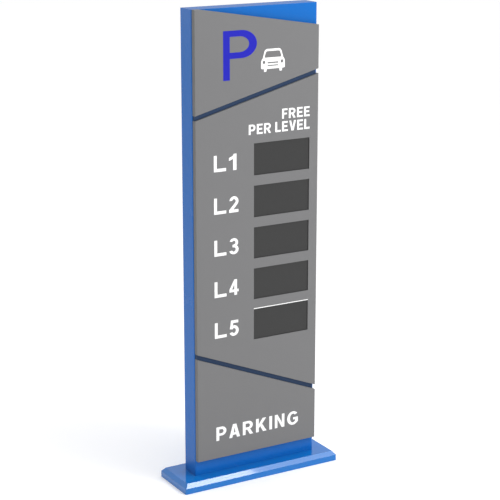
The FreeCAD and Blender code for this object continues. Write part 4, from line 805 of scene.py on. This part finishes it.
def chipLegs(mesh, low, high, face, look):  # bent legs down both long sides of a chip
    count = int((high[1] - low[1]) / look["legPitch"])
    start = (low[1] + high[1] - (count - 1) * look["legPitch"]) / 2
    head = face + look["legHigh"]
    for step in range(count):
        z = start + step * look["legPitch"]
        under, over = z - look["legWide"] / 2, z + look["legWide"] / 2
        for edge, side in ((low[0], -1), (high[0], 1)):
            near, far = sorted((edge - side * 0.2 * mm, edge + side * look["legReach"] * 0.55))
            softBlock(mesh, (near, head - look["legThick"], under), (far, head, over), look["legBevel"])
            near, far = sorted((edge + side * look["legReach"] * 0.5, edge + side * look["legReach"]))
            softBlock(mesh, (near, face - 0.1 * mm, under), (far, head, over), look["legBevel"])


def capacitor(mesh, place, radius, height):  # a can with a rolled neck and a dished top
    sunk, neck, dish = -0.2 * mm, radius * 0.93, height * 0.97
    turned(mesh, place, backwards, [(0, sunk), (radius, sunk), (radius, height * 0.10), (neck, height * 0.14),
                                    (neck, height * 0.2), (radius, height * 0.25), (radius, height * 0.95),
                                    (radius * 0.92, height), (radius * 0.8, height), (radius * 0.76, dish),
                                    (0, dish)])


def resistor(mesh, x, face, z):  # a small flat block soldered to a board's face
    softBlock(mesh, (x, face - 0.05 * mm, z), (x + 3.2 * mm, face + 0.7 * mm, z + 1.6 * mm), 0.15 * mm)


# in mm: on a display board from each chip's left side and the board's middle, on the controller from its foot
displayParts = {"digitPitch": 88, "chipShift": 14, "chip": (10, 13), "can": (-12, -34, 4, 9),
                "resistorStart": -16, "resistorPitch": 5, "resistorRows": (26, 36), "inRow": 4,
                "pins": 5, "pinStart": 21, "pinPitch": 4, "pinWide": 0.8, "pinOut": (3, 3.8),
                "pinUp": (-7.6, -5.9), "pinBevel": 0.1}
controllerParts = {"chips": ((50, 45, 26, 26), (100, 50, 16, 22)), "legPitch": 1.9,
                   "cans": ((30, 82), (40, 82), (84, 30), (96, 30), (128, 76)), "can": (3.2, 7),
                   "resistorStart": (124, 34), "resistorPitch": (6, 5), "inRow": 3, "resistors": 18}


def displayBoard(low, high, face, look, legs, cans, resistors):
    middle = (low.z + high.z) / 2
    wide, half = (size * mm for size in look["chip"])
    left, under, radius, height = (size * mm for size in look["can"])
    for step in (-1, 0, 1):
        chip = (low.x + high.x) / 2 + (step * look["digitPitch"] + look["chipShift"]) * mm
        chipLegs(legs, (chip, middle - half), (chip + wide, middle + half), face, chipLook)
        capacitor(cans, Vector((chip + left, face, middle + under)), radius, height)
        for row in look["resistorRows"]:
            for place in range(look["inRow"]):
                resistor(resistors, chip + (look["resistorStart"] + place * look["resistorPitch"]) * mm, face,
                         middle + row * mm)
    for pin in range(look["pins"]):  # the connector's pins
        x = low.x + (look["pinStart"] + pin * look["pinPitch"]) * mm
        (inner, outer), (foot, head) = look["pinOut"], look["pinUp"]
        softBlock(legs, (x, face + inner * mm, middle + foot * mm),
                  (x + look["pinWide"] * mm, face + outer * mm, middle + head * mm), look["pinBevel"] * mm)


def controllerBoard(low, face, look, legs, cans, resistors):
    legLook = {**chipLook, "legPitch": look["legPitch"] * mm}
    for x, z, wide, high in look["chips"]:
        chipLegs(legs, (low.x + x * mm, low.z + z * mm), (low.x + (x + wide) * mm, low.z + (z + high) * mm),
                 face, legLook)
    radius, height = look["can"]
    for x, z in look["cans"]:
        capacitor(cans, Vector((low.x + x * mm, face, low.z + z * mm)), radius * mm, height * mm)
    (startX, startZ), (pitchX, pitchZ) = look["resistorStart"], look["resistorPitch"]
    for place in range(look["resistors"]):
        row, column = divmod(place, look["inRow"])
        resistor(resistors, low.x + (startX + column * pitchX) * mm, face, low.z + (startZ + row * pitchZ) * mm)


def makeBoardParts():
    legs, cans, resistors = bmesh.new(), bmesh.new(), bmesh.new()
    for level, face in boardFaces.items():
        displayBoard(*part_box(f"display_board_{level}"), face, displayParts, legs, cans, resistors)
    controllerBoard(controllerLow, controllerFace, controllerParts, legs, cans, resistors)
    finishMesh("boardLegs", legs, "cabinet", "zinc_fixings")
    finishMesh("boardCapacitors", cans, "cabinet", "supply_case", finishes["zinc_fixings"], smooth=32)
    finishMesh("boardPassives", resistors, "cabinet", "device_grey")


makeBoardParts()
print("board parts made")

padLook = {"across": 40, "up": 32, "crown": 0.8 * mm, "edge": 0.09, "rim": 0.72, "pinch": 0.015,
           "lump": 0.25 * mm, "waves": ((9, 2), (-3, 7))}


def makeFilterPad(look):  # open foam cut a little large, so it crowns between the frame's sides
    low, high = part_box("filter_pad")
    middle, half = (low + high) / 2, (high - low) / 2
    (firstU, firstV), (nextU, nextV) = look["waves"]
    pinch = look["pinch"]
    mesh = bmesh.new()
    sheets = []
    for side in (-1, 1):
        sheet = []
        for row in range(look["up"] + 1):
            v = -1 + 2 * row / look["up"]
            line = []
            for column in range(look["across"] + 1):
                u = -1 + 2 * column / look["across"]
                rim = min(1.0, (1 - abs(u)) / look["edge"], (1 - abs(v)) / look["edge"])
                swell = look["rim"] + (1 - look["rim"]) * math.sqrt(1 - (1 - rim) ** 2)
                thick = half.y * swell - look["crown"] * (u * u + v * v) / 2
                wave = look["lump"] * math.sin(firstU * u + firstV * v) * math.sin(nextU * u + nextV * v) * rim
                line.append((middle.x + u * half.x * (1 - pinch * v * v),
                             middle.y + side * (thick - look["lump"] + wave),
                             middle.z + v * half.z * (1 - pinch * u * u)))
            sheet.append([mesh.verts.new(point) for point in line])
        sheets.append(sheet)
        for row in range(look["up"]):
            for column in range(look["across"]):
                mesh.faces.new((sheet[row][column], sheet[row][column + 1], sheet[row + 1][column + 1],
                                sheet[row + 1][column]))
    front, back = (sheet[0][:-1] + [row[-1] for row in sheet[:-1]] + sheet[-1][:0:-1] +
                   [row[0] for row in sheet[:0:-1]] for sheet in sheets)  # the points once round each sheet
    for index in range(len(front)):
        follow = (index + 1) % len(front)
        mesh.faces.new((front[index], front[follow], back[follow], back[index]))
    pad = finishMesh("filterFoam", mesh, "door", "filter_foam", smooth=60)
    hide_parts("filter_pad")


makeFilterPad(padLook)
print("filter pad made")
